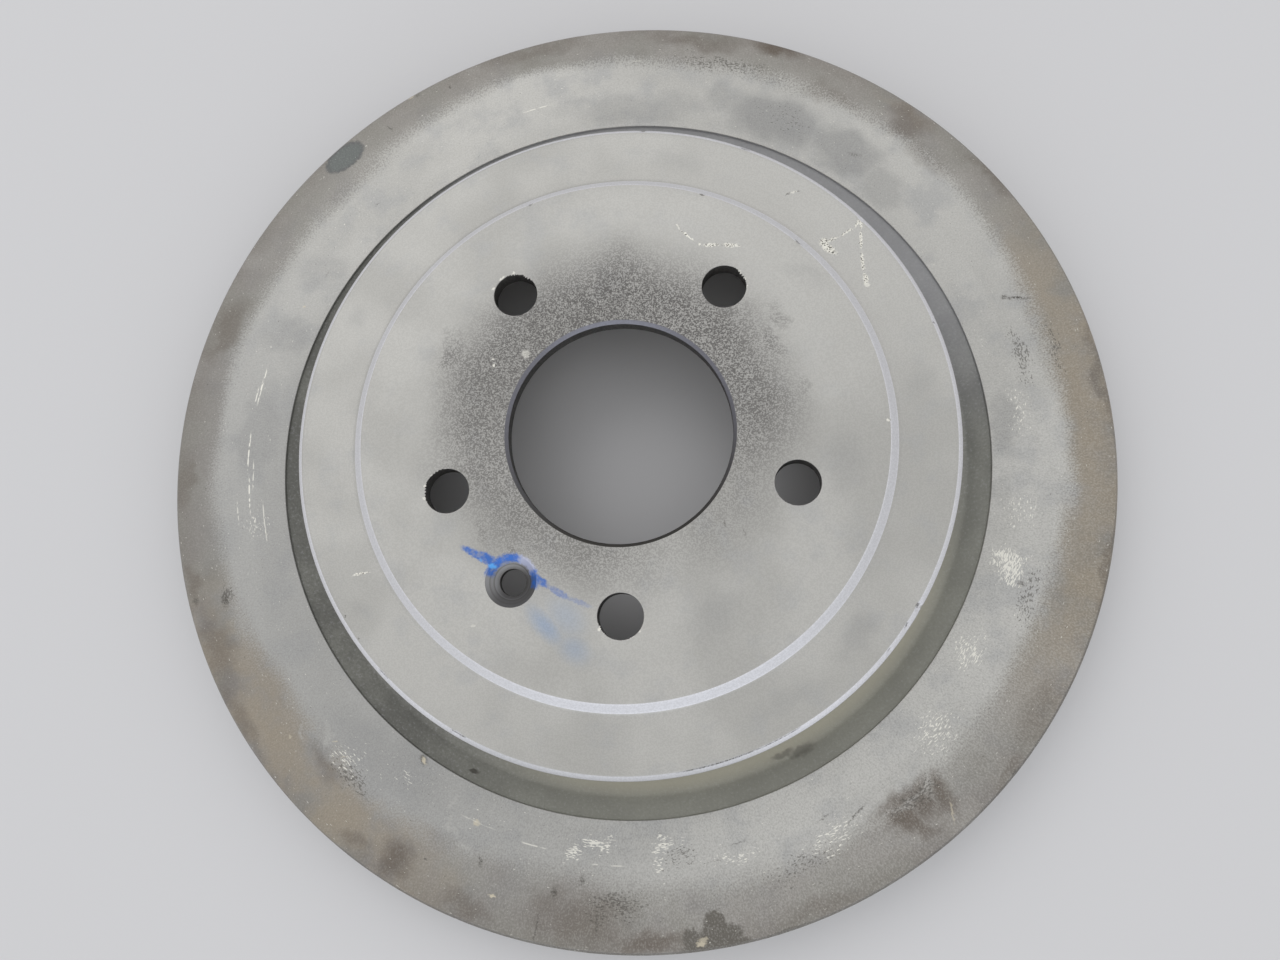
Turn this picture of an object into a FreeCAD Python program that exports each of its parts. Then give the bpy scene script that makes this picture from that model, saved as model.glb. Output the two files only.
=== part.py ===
"""Vented rear brake disc with a parking brake drum inside its hat, one iron casting.

The section is turned about the Z axis. The disc lies as on a bench, hat up: the inboard
friction face is at z = 0, the outboard friction face is one disc thickness above it, and the
hat stands on from there. Sand core fingers leave the straight vanes between the two cheeks.
All sizes are in millimetres and all angles in degrees.
"""
import FreeCAD, Part
import math
import os

# Friction ring: two cheeks held apart by vanes
DISC_D = 320.0
DISC_T = 22.0
CHEEK_T = 6.5
RIM_CHAMFER = 1.0
TRACK_EDGE_CHAMFER = 0.8
VANE_COUNT = 36
VANE_T = 4.6
VANE_SETBACK = 3.0
VANE_END_CUT = 1.6
VANE_ROOT_CUT = 1.5

# Parking brake drum, whose wall carries on up as the hat's wall
DRUM_D = 195.0
DRUM_WALL_T = 8.5
DRUM_LIP_SETBACK = 2.0
DRUM_LIP_CUT = 1.2
DRUM_LEAD_IN_H = 2.5
DRUM_LEAD_IN_W = 0.9
DRUM_RUNOUT_H = 8.0
DRUM_RELIEF = 1.0
DRUM_CORNER_CUT = 4.0

# Hat: a raised wheel seat, a lower shoulder round it and a drafted wall
PLATFORM_H = 25.5
PLATFORM_STEP_H = 3.3
PLATFORM_SLOPE_W = 3.0
SHOULDER_W = 19.5
PLATE_T = 6.5
HAT_EDGE_CHAMFER = 1.7
HAT_DRAFT = 2.5

# Hub side of the hat's plate
HUB_SEAT_MARGIN = 5.5
HUB_SEAT_RELIEF = 0.6
UNDERSIDE_SLOPE_W = 6.0

# Recess between the hat and the outboard friction face, and the neck under it
RECESS_W = 13.1
RECESS_DEPTH = 5.5
RECESS_SLOPE_W = 6.7
RECESS_STEP = 1.2
RECESS_ROOT_CUT = 3.0
NECK_T = 6.5
NECK_SHIFT = 1.0
NECK_ROOT_CUT = 2.5

# Holes in the hat's plate
BORE_D = 71.0
BORE_CHAMFER = 1.1
BORE_BACK_CHAMFER = 0.9
BOLT_CIRCLE_D = 115.0
BOLT_HOLE_D = 14.2
BOLT_HOLE_BACK_CHAMFER = 0.5
BOLT_COUNT = 5
SCREW_HOLE_D = 8.4
SCREW_SINK_D = 16.0
SCREW_SINK_ANGLE = 90.0
FIRST_BOLT_ANGLE = 54.0
SCREW_ANGLE = 234.0

# How far a cutting tool runs past the surface that it leaves by
TOOL_OVERRUN = 5.0

# The largest share of a side or a gap that one eased corner takes
EASE_LIMIT = 0.4

# Radii worked out from the sizes above
rim_r = DISC_D / 2
drum_r = DRUM_D / 2
hat_r = drum_r + DRUM_WALL_T
foot_r = hat_r - SHOULDER_W
lip_r = foot_r - PLATFORM_SLOPE_W
bore_r = BORE_D / 2
hub_seat_r = lip_r - HUB_SEAT_MARGIN

# Heights worked out from the sizes above
platform_z = DISC_T + PLATFORM_H
shoulder_z = platform_z - PLATFORM_STEP_H
hub_seat_z = platform_z - PLATE_T
underside_z = shoulder_z - PLATE_T
hat_edge_z = shoulder_z - HAT_EDGE_CHAMFER
recess_z = DISC_T - RECESS_DEPTH
neck_z = recess_z - NECK_T
drum_top_z = underside_z - DRUM_RUNOUT_H
vane_top_z = DISC_T - CHEEK_T

# The drafted wall widens downwards, and the recess starts where it ends
root_r = hat_r + (hat_edge_z - recess_z) * math.tan(math.radians(HAT_DRAFT))
track_r = root_r + RECESS_W
recess_slope_r = track_r - RECESS_SLOPE_W
vane_in_r = track_r + VANE_SETBACK


def eased_outline(corners):
    """Closed wire in the XZ plane through (r, z, cut), with a flat across each corner that has a cut.

    The flat starts and ends that far from the corner, or nearer where a side is too short for it.
    """
    points = [FreeCAD.Vector(r, 0, z) for r, z, _ in corners]
    outline = []
    for index, (_, _, cut) in enumerate(corners):
        corner = points[index]
        back = points[index - 1] - corner
        ahead = points[(index + 1) % len(points)] - corner
        reach = min(cut, EASE_LIMIT * back.Length, EASE_LIMIT * ahead.Length)
        if reach > 0:
            outline.append(corner + back.normalize() * reach)
            outline.append(corner + ahead.normalize() * reach)
        else:
            outline.append(corner)
    return Part.makePolygon(outline + outline[:1])


def hat_top():
    """Corners of the upper surface, from the bore out to the foot of the hat's wall."""
    return [
        (bore_r, platform_z - BORE_CHAMFER, 0),
        (bore_r + BORE_CHAMFER, platform_z, 0),
        (lip_r, platform_z, 0),
        (foot_r, shoulder_z, 0),
        (hat_r - HAT_EDGE_CHAMFER, shoulder_z, 0),
        (hat_r, hat_edge_z, 0),
        (root_r, recess_z, RECESS_ROOT_CUT),
    ]


def ring_outside():
    """Corners from the recess over the outboard track, down the rim and in along the inboard track."""
    return [
        (recess_slope_r, recess_z, 0),
        (track_r, DISC_T - RECESS_STEP, 0),
        (track_r, DISC_T, 0),
        (rim_r - RIM_CHAMFER, DISC_T, 0),
        (rim_r, DISC_T - RIM_CHAMFER, 0),
        (rim_r, RIM_CHAMFER, 0),
        (rim_r - RIM_CHAMFER, 0, 0),
        (track_r + TRACK_EDGE_CHAMFER, 0, 0),
        (track_r, TRACK_EDGE_CHAMFER, 0),
    ]


def air_inlet():
    """Corners of the gap that feeds the vanes, between the inboard cheek, the neck and the drum."""
    return [
        (track_r, CHEEK_T, 0),
        (vane_in_r, CHEEK_T, 0),
        (vane_in_r, vane_top_z, 0),
        (track_r + NECK_SHIFT, vane_top_z, 0),
        (recess_slope_r + NECK_SHIFT, neck_z, 0),
        (root_r, neck_z, NECK_ROOT_CUT),
        (hat_r, DRUM_LIP_SETBACK, DRUM_LIP_CUT),
    ]


def drum_inside():
    """Corners of the drum's bore and of the plate's underside, back to the bore in the middle."""
    return [
        (drum_r + DRUM_LEAD_IN_W, DRUM_LIP_SETBACK, 0),
        (drum_r, DRUM_LIP_SETBACK + DRUM_LEAD_IN_H, 0),
        (drum_r, drum_top_z, 0),
        (drum_r + DRUM_RELIEF, drum_top_z + DRUM_RELIEF, 0),
        (drum_r + DRUM_RELIEF, underside_z, DRUM_CORNER_CUT),
        (lip_r + UNDERSIDE_SLOPE_W, underside_z, 0),
        (lip_r, hub_seat_z + HUB_SEAT_RELIEF, 0),
        (hub_seat_r, hub_seat_z + HUB_SEAT_RELIEF, 0),
        (hub_seat_r, hub_seat_z, 0),
        (bore_r + BORE_BACK_CHAMFER, hub_seat_z, 0),
        (bore_r, hub_seat_z + BORE_BACK_CHAMFER, 0),
    ]


def turned_casting():
    """The whole section revolved, with the space for the vanes still filled."""
    outline = eased_outline(hat_top() + ring_outside() + air_inlet() + drum_inside())
    return Part.Face(outline).revolve(FreeCAD.Vector(), FreeCAD.Vector(0, 0, 1), 360)


def core_finger():
    """Sand core between two vanes, centred on +X, with its four long edges eased.

    Seen from above, each side runs along a vane, half a vane thickness from that vane's centre
    line. At the inner end it cuts across the vane's corner, runs on a little past the vane's end
    and leaves by the inlet, clear of the next finger.
    """
    half_pitch = math.pi / VANE_COUNT
    along = FreeCAD.Vector(math.cos(half_pitch), math.sin(half_pitch), 0)
    across = FreeCAD.Vector(math.sin(half_pitch), -math.cos(half_pitch), 0)
    gap = vane_top_z - CHEEK_T
    side = VANE_T / 2
    end_cut = min(VANE_END_CUT, 2 * EASE_LIMIT * side)
    run_on = (side - end_cut) / 2

    def place(distance_out, distance_across):
        return along * distance_out + across * distance_across + FreeCAD.Vector(0, 0, CHEEK_T)

    def mirror(point):
        return FreeCAD.Vector(point.x, -point.y, point.z)

    left = [
        place(rim_r + TOOL_OVERRUN, side),
        place(vane_in_r + end_cut, side),
        place(vane_in_r - run_on, side - end_cut - run_on),
        place(vane_in_r - VANE_SETBACK * EASE_LIMIT, side - end_cut - run_on),
    ]
    right = [mirror(point) for point in reversed(left)]
    outline = Part.makePolygon(left + right + left[:1])
    finger = Part.Face(outline).extrude(FreeCAD.Vector(0, 0, gap))
    long_edges = [edge for edge in finger.Edges if runs_along_vane(edge)]
    return finger.makeChamfer(min(VANE_ROOT_CUT, EASE_LIMIT * gap), long_edges)


def runs_along_vane(edge):
    """True for the four long level edges of a core finger."""
    start = edge.Vertexes[0].Point
    end = edge.Vertexes[-1].Point
    level = abs(start.z - end.z) < 1e-6
    return level and abs(end.x - start.x) > (rim_r - vane_in_r) / 2


def around_axis(shape, count, first_angle):
    """Copies of a shape spread evenly about the disc's axis."""
    copies = []
    for index in range(count):
        turned = shape.copy()
        turned.rotate(FreeCAD.Vector(), FreeCAD.Vector(0, 0, 1), first_angle + index * 360 / count)
        copies.append(turned)
    return copies


def bolt_drill():
    """Tool for one wheel bolt hole on +X: a drill and a light chamfer on the hub side."""
    centre = FreeCAD.Vector(BOLT_CIRCLE_D / 2, 0, hub_seat_z - TOOL_OVERRUN)
    drill = Part.makeCylinder(BOLT_HOLE_D / 2, PLATE_T + 2 * TOOL_OVERRUN, centre)
    mouth = FreeCAD.Vector(BOLT_CIRCLE_D / 2, 0, hub_seat_z)
    mouth_r = BOLT_HOLE_D / 2 + BOLT_HOLE_BACK_CHAMFER
    chamfer = Part.makeCone(mouth_r, BOLT_HOLE_D / 2, BOLT_HOLE_BACK_CHAMFER, mouth)
    return drill.fuse(chamfer)


def screw_drill():
    """Tool for the retaining screw's hole on +X: a drill and a countersink from the wheel side."""
    centre = FreeCAD.Vector(BOLT_CIRCLE_D / 2, 0, hub_seat_z - TOOL_OVERRUN)
    drill = Part.makeCylinder(SCREW_HOLE_D / 2, PLATE_T + 2 * TOOL_OVERRUN, centre)
    sink_slope = math.tan(math.radians(SCREW_SINK_ANGLE / 2))
    sink_depth = (SCREW_SINK_D - SCREW_HOLE_D) / 2 / sink_slope
    sink_top_r = SCREW_SINK_D / 2 + TOOL_OVERRUN * sink_slope
    sink_foot = FreeCAD.Vector(BOLT_CIRCLE_D / 2, 0, platform_z - sink_depth)
    sink = Part.makeCone(SCREW_HOLE_D / 2, sink_top_r, sink_depth + TOOL_OVERRUN, sink_foot)
    return drill.fuse(sink)


def brake_disc():
    """The casting with its air channels opened and its plate drilled.

    A vane lies in line with the first bolt hole, so that the disc has no hand.
    """
    first_finger_angle = FIRST_BOLT_ANGLE + 180 / VANE_COUNT
    tools = around_axis(core_finger(), VANE_COUNT, first_finger_angle)
    tools += around_axis(bolt_drill(), BOLT_COUNT, FIRST_BOLT_ANGLE)
    tools += around_axis(screw_drill(), 1, SCREW_ANGLE)
    return turned_casting().cut(tools)


os.makedirs("parts", exist_ok=True)
disc = brake_disc()
disc.exportStep("parts/brake_disc.step")
print("solids", len(disc.Solids), "valid", disc.isValid(), "faces", len(disc.Faces))
print("volume cm3", round(disc.Volume / 1000, 1), "box", disc.BoundBox)
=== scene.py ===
"""Looks of a vented brake disc with a parking brake drum in its hat.

The whole casting is one closed skin, turned, drilled and opened to its air channels in numpy.
Sizes are millimetres until the points go into the mesh, and angles are degrees where a name
says so. The disc lies hat up, its inboard friction face at height 0 and its axis along Z.
"""

import math

import bmesh
import bpy
import numpy as np
from mathutils import Matrix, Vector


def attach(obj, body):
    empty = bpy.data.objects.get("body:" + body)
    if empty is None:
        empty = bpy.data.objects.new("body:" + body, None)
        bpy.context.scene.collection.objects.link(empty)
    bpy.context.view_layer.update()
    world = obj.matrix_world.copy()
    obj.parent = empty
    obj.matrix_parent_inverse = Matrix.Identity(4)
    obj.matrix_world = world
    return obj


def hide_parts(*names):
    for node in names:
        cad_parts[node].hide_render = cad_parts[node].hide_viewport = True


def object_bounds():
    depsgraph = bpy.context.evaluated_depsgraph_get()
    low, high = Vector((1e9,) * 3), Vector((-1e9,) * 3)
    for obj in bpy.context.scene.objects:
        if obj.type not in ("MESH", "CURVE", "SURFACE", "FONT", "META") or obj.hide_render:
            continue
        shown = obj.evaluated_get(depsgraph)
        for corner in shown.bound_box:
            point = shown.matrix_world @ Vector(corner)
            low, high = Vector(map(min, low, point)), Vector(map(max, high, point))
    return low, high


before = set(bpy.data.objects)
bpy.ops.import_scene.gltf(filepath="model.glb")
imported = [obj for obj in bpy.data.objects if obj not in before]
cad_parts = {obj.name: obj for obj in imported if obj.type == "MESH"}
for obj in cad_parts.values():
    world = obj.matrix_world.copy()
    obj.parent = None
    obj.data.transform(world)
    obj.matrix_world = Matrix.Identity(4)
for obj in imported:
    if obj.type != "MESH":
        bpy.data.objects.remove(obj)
cad_box = [list(corner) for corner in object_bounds()]

MM = 0.001

# Overall size, read from the frame
rim_r = cad_box[1][0] / MM
platform_z = cad_box[1][2] / MM

# Friction ring
RING_T = 22.0
CHEEK_T = 6.5
RIM_CHAMFER = 1.0
TRACK_EDGE_CHAMFER = 0.8
VANE_COUNT = 36
VANE_T = 4.6
CHANNEL_CORNER_R = 2.0

# Radii of the turned section
BORE_R = 35.5
HUB_SEAT_R = 78.0
LIP_R = 83.5
FOOT_R = 86.5
UNDERSIDE_R = 89.5
DRUM_R = 97.5
DRUM_RELIEF_R = 98.5
HAT_R = 106.0
ROOT_R = 107.135
RECESS_FLOOR_R = 113.535
TRACK_R = 120.235
VANE_IN_R = 123.235

# Heights of the turned section
DRUM_LIP_Z = 2.0
DRUM_LEAD_IN_Z = 4.5
NECK_Z = 10.0
RECESS_Z = 16.5
TRACK_STEP_Z = 20.8
DRUM_TOP_Z = 29.7
UNDERSIDE_Z = 37.7
HUB_SEAT_Z = 41.0
SHOULDER_Z = 44.2
vane_low_z = CHEEK_T
vane_high_z = RING_T - CHEEK_T

# Edge treatments
BORE_CHAMFER = 1.1
BORE_BACK_CHAMFER = 0.9
HAT_CHAMFER = 1.7
HAT_ROUND = 1.3
SLOPE_ROUND = 1.1
SLOPE_FOOT_ROUND = 2.2
EDGE_BREAK = 0.25
SOFT_EDGE = 0.4

# Steps and corner radii of the hub's side, the neck and the recess
SEAT_STEP = 0.6
SEAT_STEP_ROUND = 0.2
PLATE_EDGE_ROUND = 1.0
UNDERSIDE_ROUND = 2.0
DRUM_END_ROUND = 5.0
RELIEF_STEP = 1.0
LEAD_IN = 0.9
SKIRT_ROUND = 1.5
NECK_IN_ROUND = 3.0
NECK_OUT = 1.0
NECK_OUT_ROUND = 1.5
INLET_ROUND = 0.5
RECESS_ROUND = 2.5
ROOT_ROUND = 4.0

# Holes through the hat's plate
BOLT_CIRCLE_R = 57.5
BOLT_HOLE_R = 7.1
BOLT_BACK_CHAMFER = 0.5
BOLT_BACK_ROUND = 0.1
BOLT_ANGLES = (54, 126, 198, 270, 342)
SCREW_ANGLE = 234
SCREW_HOLE_R = 4.2
SCREW_SINK_R = 8.0
SCREW_SINK_DEPTH = 3.8
SINK_ROUND = 0.2
SCREW_BACK_ROUND = 0.15

# The cells of the plate: one hole, or none, in the middle of each
CELL_COUNT = 10
CELL_IN_R = 41.0
CELL_OUT_R = 75.0
CELL_SIDE_STEPS = 18

# Points round the axis: coarse for hidden rings, finer towards the edges that show nicks
COARSE = 360
MEDIUM = 720
FINE = 1440

# Steps along the rounds of a section, and the distance in metres at which points weld
SMALL_ARC_STEP = math.radians(45)
LARGE_ARC_STEP = math.radians(22.5)
LARGE_ARC_R = 1.0
ARC_SLACK = 0.01
WELD = 2e-6

# Where rings of different counts meet, and loops round the holes
RIM_FINE_IN = 4.0
RIM_COARSE_IN = 7.0
VANE_RING_OUT = 1.6
VANE_STRAIGHT_R = 142.0
SHOULDER_FINE_IN = (1.1, 1.8)
SHOULDER_MEDIUM_IN = 3.2
SEAT_RING_OUT = 3.0
LIP_RING_IN = 2.2
WALL_COARSE_Z = 26.0
WALL_MEDIUM_Z = (29.0, 38.0)
WALL_FINE_Z = (39.5, 41.2)
BOLT_LOOP_R = 10.0
SCREW_LOOP_R = 10.5
SCREW_BACK_LOOP_R = 8.0

# The rim's belt that holds the channels' mouths
BELT_MARGIN = 2.2
WINDOW_EDGE = 0.25
WINDOW_CORNER_STEPS = 4
WINDOW_SIDE_CORNER_STEPS = 2
WINDOW_SIDE_STEPS = 6

# Nicks in the hat's edges: angle, radius, height, length, reach across the edge, depth
HAT_NICKS = (
    (328.1, 105.0, 43.3, 3.4, 1.1, 0.75),
    (324.4, 105.1, 43.4, 2.6, 0.8, 0.5),
    (319.4, 105.0, 43.4, 2.0, 0.7, 0.45),
    (66.5, 105.1, 43.2, 8.0, 0.7, 0.35),
    (68.6, 105.2, 43.2, 2.4, 0.8, 0.5),
    (85.6, 105.3, 43.1, 1.8, 0.9, 0.6),
    (18.5, 104.6, 43.8, 1.6, 0.7, 0.5),
    (14.7, 105.0, 43.4, 1.4, 0.6, 0.4),
    (241.5, 104.6, 43.8, 2.6, 0.6, 0.4),
    (225.0, 104.6, 43.8, 2.2, 0.6, 0.35),
    (286.0, 104.4, 44.0, 20.0, 0.45, 0.18),
    (41.3, 104.6, 43.9, 2.2, 0.9, 0.4),
    (200.5, 104.8, 43.7, 1.6, 0.6, 0.4),
)
LIP_NICKS = (
    (70.7, 83.6, 47.3, 2.4, 0.9, 0.45),
    (46.3, 84.0, 47.0, 1.8, 0.9, 0.5),
    (44.2, 84.2, 46.8, 2.2, 0.9, 0.5),
    (110.7, 83.5, 47.3, 1.6, 0.8, 0.4),
    (0.7, 83.3, 47.4, 1.4, 0.7, 0.3),
)

# Ragged burrs over the bolt holes' top edges: hole, direction seen from it, half spread, length
BURRS = (
    (126, 75, 42, 0.95),
    (54, 35, 30, 1.0),
    (198, 180, 36, 0.8),
    (198, 115, 24, 0.5),
    (270, 215, 20, 0.8),
    (270, 300, 9, 0.6),
)
BURR_DROP = 0.7
BURR_REACH = 0.26
BURR_SEED = 5
NICK_SEED = 11


def shade(red, green, blue):
    """A colour as seen on a screen (0 to 255 each), in the linear values that a shader takes."""
    def linear(part):
        part /= 255
        return part / 12.92 if part <= 0.04045 else ((part + 0.055) / 1.055) ** 2.4
    return (linear(red), linear(green), linear(blue), 1.0)


# The friction faces and the hat's top have one finish for each of these sectors
SECTORS = 6

# How far a mark may reach past its size, the ink round the screw's hole, and where flecks begin
MARK_SLACK = 5.0
INK_REACH = 30.0
INK_RING_OUT = 8.6
INK_RING_IN = 7.4
INK_SEAT_IN = 5.8
FLECK_BASE = 0.745

# Tones of the iron
HAT_IRON = shade(175, 174, 171)
PALE_IRON = shade(186, 185, 182)
BRIGHT_IRON = shade(195, 194, 191)
# A dull grey, used for dull patches and for painted shade on the track
DULL_AND_SHADE_IRON = shade(152, 152, 152)
CUT_IRON = shade(211, 211, 216)
STAIN_GREY = shade(128, 124, 117)
STAIN_BROWN = shade(104, 94, 85)
TAN = shade(156, 146, 131)
COOL_IRON = shade(166, 167, 169)
BLUE_GREY = shade(112, 117, 116)
BLUE_DARK = shade(84, 88, 92)
BLOTCH_GREY = shade(103, 99, 93)
HALO_DARK = shade(98, 96, 95)
WHITE_MARK = shade(232, 230, 222)
BEIGE_MARK = shade(205, 196, 176)
DARK_MARK = shade(78, 75, 70)
CAST_SKIN = shade(138, 138, 133)
CAST_DARK = shade(120, 120, 116)
# Painted light in the recess: a warm lit tone next to the hat and a lit one on the near side; the pale tone
# is both the sand's pale grains and painted light on the far side's wall
CAST_WARM_LIT = shade(176, 172, 156)
CAST_LIT = shade(168, 168, 160)
CAST_PALE_AND_LIT = shade(188, 188, 194)
CAST_PIT = shade(88, 88, 84)
# Painted light and painted shade of the countersink: a lit tone where its wall faces the near side, a shaded
# one across from it; the lit tone also marks its pale rings
SEAT_SHADED = shade(94, 93, 93)
SEAT_PALE_AND_LIT = shade(150, 150, 151)
# Painted light and painted shade of the bore's chamfer: a lit, bluish tone for the far side and a shaded one
# for the near side
BORE_LIT_IRON = shade(118, 118, 127)
BORE_SHADE = shade(70, 68, 66)
# Painted shade: two near-black tones for the walls of the bore and the drilled holes
HOLE_SHADE_DARK = shade(40, 39, 38)
HOLE_SHADE_PALE = shade(62, 60, 57)
# Painted shade: dark brown tones for the drum and the hub seat inside the hat
DRUM_SHADED_IRON = shade(130, 122, 108)
DRUM_SHADED_DARK = shade(106, 98, 85)
# Painted shade: a dark brown tone for the cast faces under the hat
CAST_UNDER_SHADE = shade(86, 79, 67)
BLUE_INK = shade(40, 102, 190)
BLUE_PALE = shade(132, 158, 194)
BLUE_CYAN = shade(90, 170, 240)
INK_LILAC = shade(190, 196, 226)

# Stains of the track, as ovals: angle, radius, length about the axis, width, lean, strength
TAN_STAINS = (
    (4, 150.5, 92, 19, 0, 0.7),
    (344, 151, 60, 18, 0, 0.6),
    (22, 150, 50, 16, 0, 0.4),
    (217, 151, 42, 20, 0, 0.65),
    (232, 151, 30, 16, 0, 0.55),
    (248, 152, 16, 14, 0, 0.35),
    (336, 153, 34, 12, 0, 0.3),
    (50, 156, 34, 9, 0, 0.35),
)
BROWN_STAINS = (
    (240.5, 152, 20, 18, 20, 0.8),
    (235, 155, 18, 9, 0, 0.5),
    (205, 154, 46, 15, 0, 0.5),
    (226, 144, 24, 10, 0, 0.35),
    (214, 157, 44, 8, 0, 0.4),
    (250, 155, 24, 10, 0, 0.45),
    (264, 151, 44, 24, 0, 0.6),
    (260, 147, 20, 16, 0, 0.45),
    (272, 156, 34, 11, 0, 0.75),
    (292, 157, 40, 8, 0, 0.35),
    (326, 154, 40, 14, 0, 0.35),
    (49, 153, 24, 16, 0, 0.6),
    (60, 148, 30, 12, 0, 0.35),
    (44, 147, 30, 12, 0, 0.3),
    (69.5, 158.5, 26, 9, 0, 0.95),
    (36, 158, 30, 8, 0, 0.5),
    (80, 155, 50, 9, 0, 0.45),
    (8, 158, 60, 6, 0, 0.5),
    (345, 159, 50, 5, 0, 0.5),
    (162, 154, 34, 14, -10, 0.5),
    (183, 157, 30, 9, 0, 0.4),
    (196, 157, 20, 8, 0, 0.5),
    (318, 158, 22, 6, 0, 0.4),
    (103, 157, 50, 8, 0, 0.35),
)

# Strokes of brown, each by the radius and angle of both its ends, its width and its strength
BROWN_WEDGE = (
    (158.5, 309.2, 138.5, 312.8, 10, 0.8),
    (158.5, 309.0, 139.5, 302.6, 11, 0.85),
    (141.5, 312.5, 141.5, 300.5, 9, 0.7),
    (154.0, 309.0, 141.0, 308.0, 11, 0.75),
)

# Blotches and dull patches, again as ovals
RIM_BLOTCHES = (
    (279.6, 158.8, 25, 4.6, 0, 0.95),
    (280.2, 156.0, 16, 8, 0, 0.95),
    (279.8, 152.6, 8, 9, 0, 0.95),
    (276.9, 156.2, 6, 8, 0, 0.9),
    (287.5, 159.5, 18, 1.8, 0, 0.8),
)
BLUE_BLOTCH = (
    (132.6, 154.9, 16.5, 8.6, -4, 0.95),
)
BLUE_EDGE = (
    (132.6, 155, 18.5, 10.4, -4, 0.75),
)
# The patches round 45° to 74° and 225° to 244° are painted shade, the dark lobes of the turned face's
# reflection; the others are dull tone
DULL_AND_SHADE_PATCHES = (
    (66, 131, 46, 26, 0, 0.8),
    (54, 131, 40, 24, 0, 0.7),
    (45, 128, 26, 18, 0, 0.45),
    (74, 134, 20, 16, 0, 0.4),
    (232, 130, 66, 24, 0, 0.45),
    (176, 131, 44, 20, 0, 0.5),
    (160, 131, 16, 26, 35, 0.4),
    (148, 130, 18, 20, 30, 0.3),
    (2, 125, 26, 13, 0, 0.5),
    (352, 124, 16, 9, 0, 0.3),
    (225, 142, 20, 9, 0, 0.6),
    (98, 131, 30, 10, 0, 0.2),
    (88, 127, 70, 18, 0, 0.4),
    (244, 136, 14, 18, 20, 0.3),
)

# Small marks of the track: ovals, strokes, and lines about the axis further down
TRACK_DARK = (
    (260.4, 143.6, 2.6, 5, 0, 0.8),
    (263.7, 139, 2, 5, 0, 0.7),
    (250.2, 141, 1.6, 5, 25, 0.8),
    (243.6, 147.5, 1.6, 1.4, 0, 0.8),
    (199.6, 147, 6, 4, 0, 0.8),
    (198.3, 156.9, 4, 3, 0, 0.6),
    (339.3, 134.5, 3, 3, 0, 0.8),
    (337.6, 136.5, 1.5, 2.5, 0, 0.7),
    (115.1, 154.8, 1.6, 1.8, 0, 0.8),
    (125.2, 153, 1, 4.5, 10, 0.7),
    (266, 151, 1.2, 12, 0, 0.6),
    (318.4, 159.1, 3, 1.5, 0, 0.7),
    (52, 132.3, 7, 2, 20, 0.4),
    (236.6, 122, 5.4, 3.6, -30, 0.9),
    (285, 131, 9, 0.8, 3, 0.6),
    (281.5, 134.5, 5, 0.7, 0, 0.5),
    (148, 128.5, 4, 0.7, 0, 0.5),
    (259, 155, 0.8, 13, 0, 0.8),
    (119.5, 158.6, 2.6, 1.6, 0, 0.6),
    (134, 131.6, 5, 0.8, 0, 0.5),
    (297, 133.5, 10, 0.8, 8, 0.5),
)
TRACK_SCRATCH = (
    (136.5, 21.1, 145.9, 19.2, 1.3, 1.0),
    (135.6, 21.3, 140.2, 20.2, 2.2, 0.7),
    (139, 298.4, 136, 303.4, 0.9, 0.7),
)
TRACK_WHITE = (
    (236.8, 122.2, 3.6, 1.7, -30, 0.9),
    (247.8, 130.7, 3.2, 2.6, 40, 0.7),
    (253, 149.5, 3.2, 1.2, 0, 0.9),
    (278.2, 156.5, 4, 1.8, 0, 0.6),
    (154.5, 129.5, 1.2, 1.6, 0, 0.7),
    (220, 147, 1.5, 1.5, 0, 0.5),
    (120.4, 159.2, 3.0, 1.5, 0, 0.8),
    (277.9, 157.6, 4.4, 2.0, 10, 0.8),
    (310.4, 153.5, 0.9, 9.5, -34, 0.5),
    (227, 138, 3.4, 0.7, 60, 0.6),
    (224.6, 136.5, 2.6, 0.7, 50, 0.7),
)
PALE_STROKES = (
    (141.4, 249.4, 136.4, 245.6, 3.4, 0.5),
    (137.2, 246.0, 131.0, 244.0, 3.2, 0.5),
    (131.6, 244.0, 124.5, 243.2, 3.0, 0.45),
    (142.0, 225.5, 131.0, 221.0, 3.0, 0.4),
    (146.0, 221.5, 139.0, 219.0, 2.4, 0.3),
    (140.0, 160.5, 122.0, 168.0, 5.0, 0.35),
)

# Lines about the axis: radius, middle angle, half length in degrees, width, strength
TRACK_LINES = (
    (133.9, 179, 3.6, 0.6, 1.0),
    (133.4, 168.5, 3.4, 0.7, 1.0),
    (134.4, 170, 1.5, 0.5, 0.9),
    (133.6, 104, 2.8, 0.5, 0.8),
    (133.2, 185.5, 3.4, 0.6, 1.0),
    (137.6, 188, 2.0, 0.5, 0.7),
    (131.8, 182.5, 2.6, 0.5, 0.8),
    (128.4, 190, 3.5, 0.5, 0.7),
    (133.8, 267, 2.6, 0.5, 0.6),
    (131.5, 256.5, 2.2, 0.5, 0.7),
    (134.5, 350.5, 1.4, 0.4, 0.6),
    (130.5, 248, 3.0, 0.4, 0.4),
    (146.6, 88, 2.4, 0.5, 0.4),
)

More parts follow.
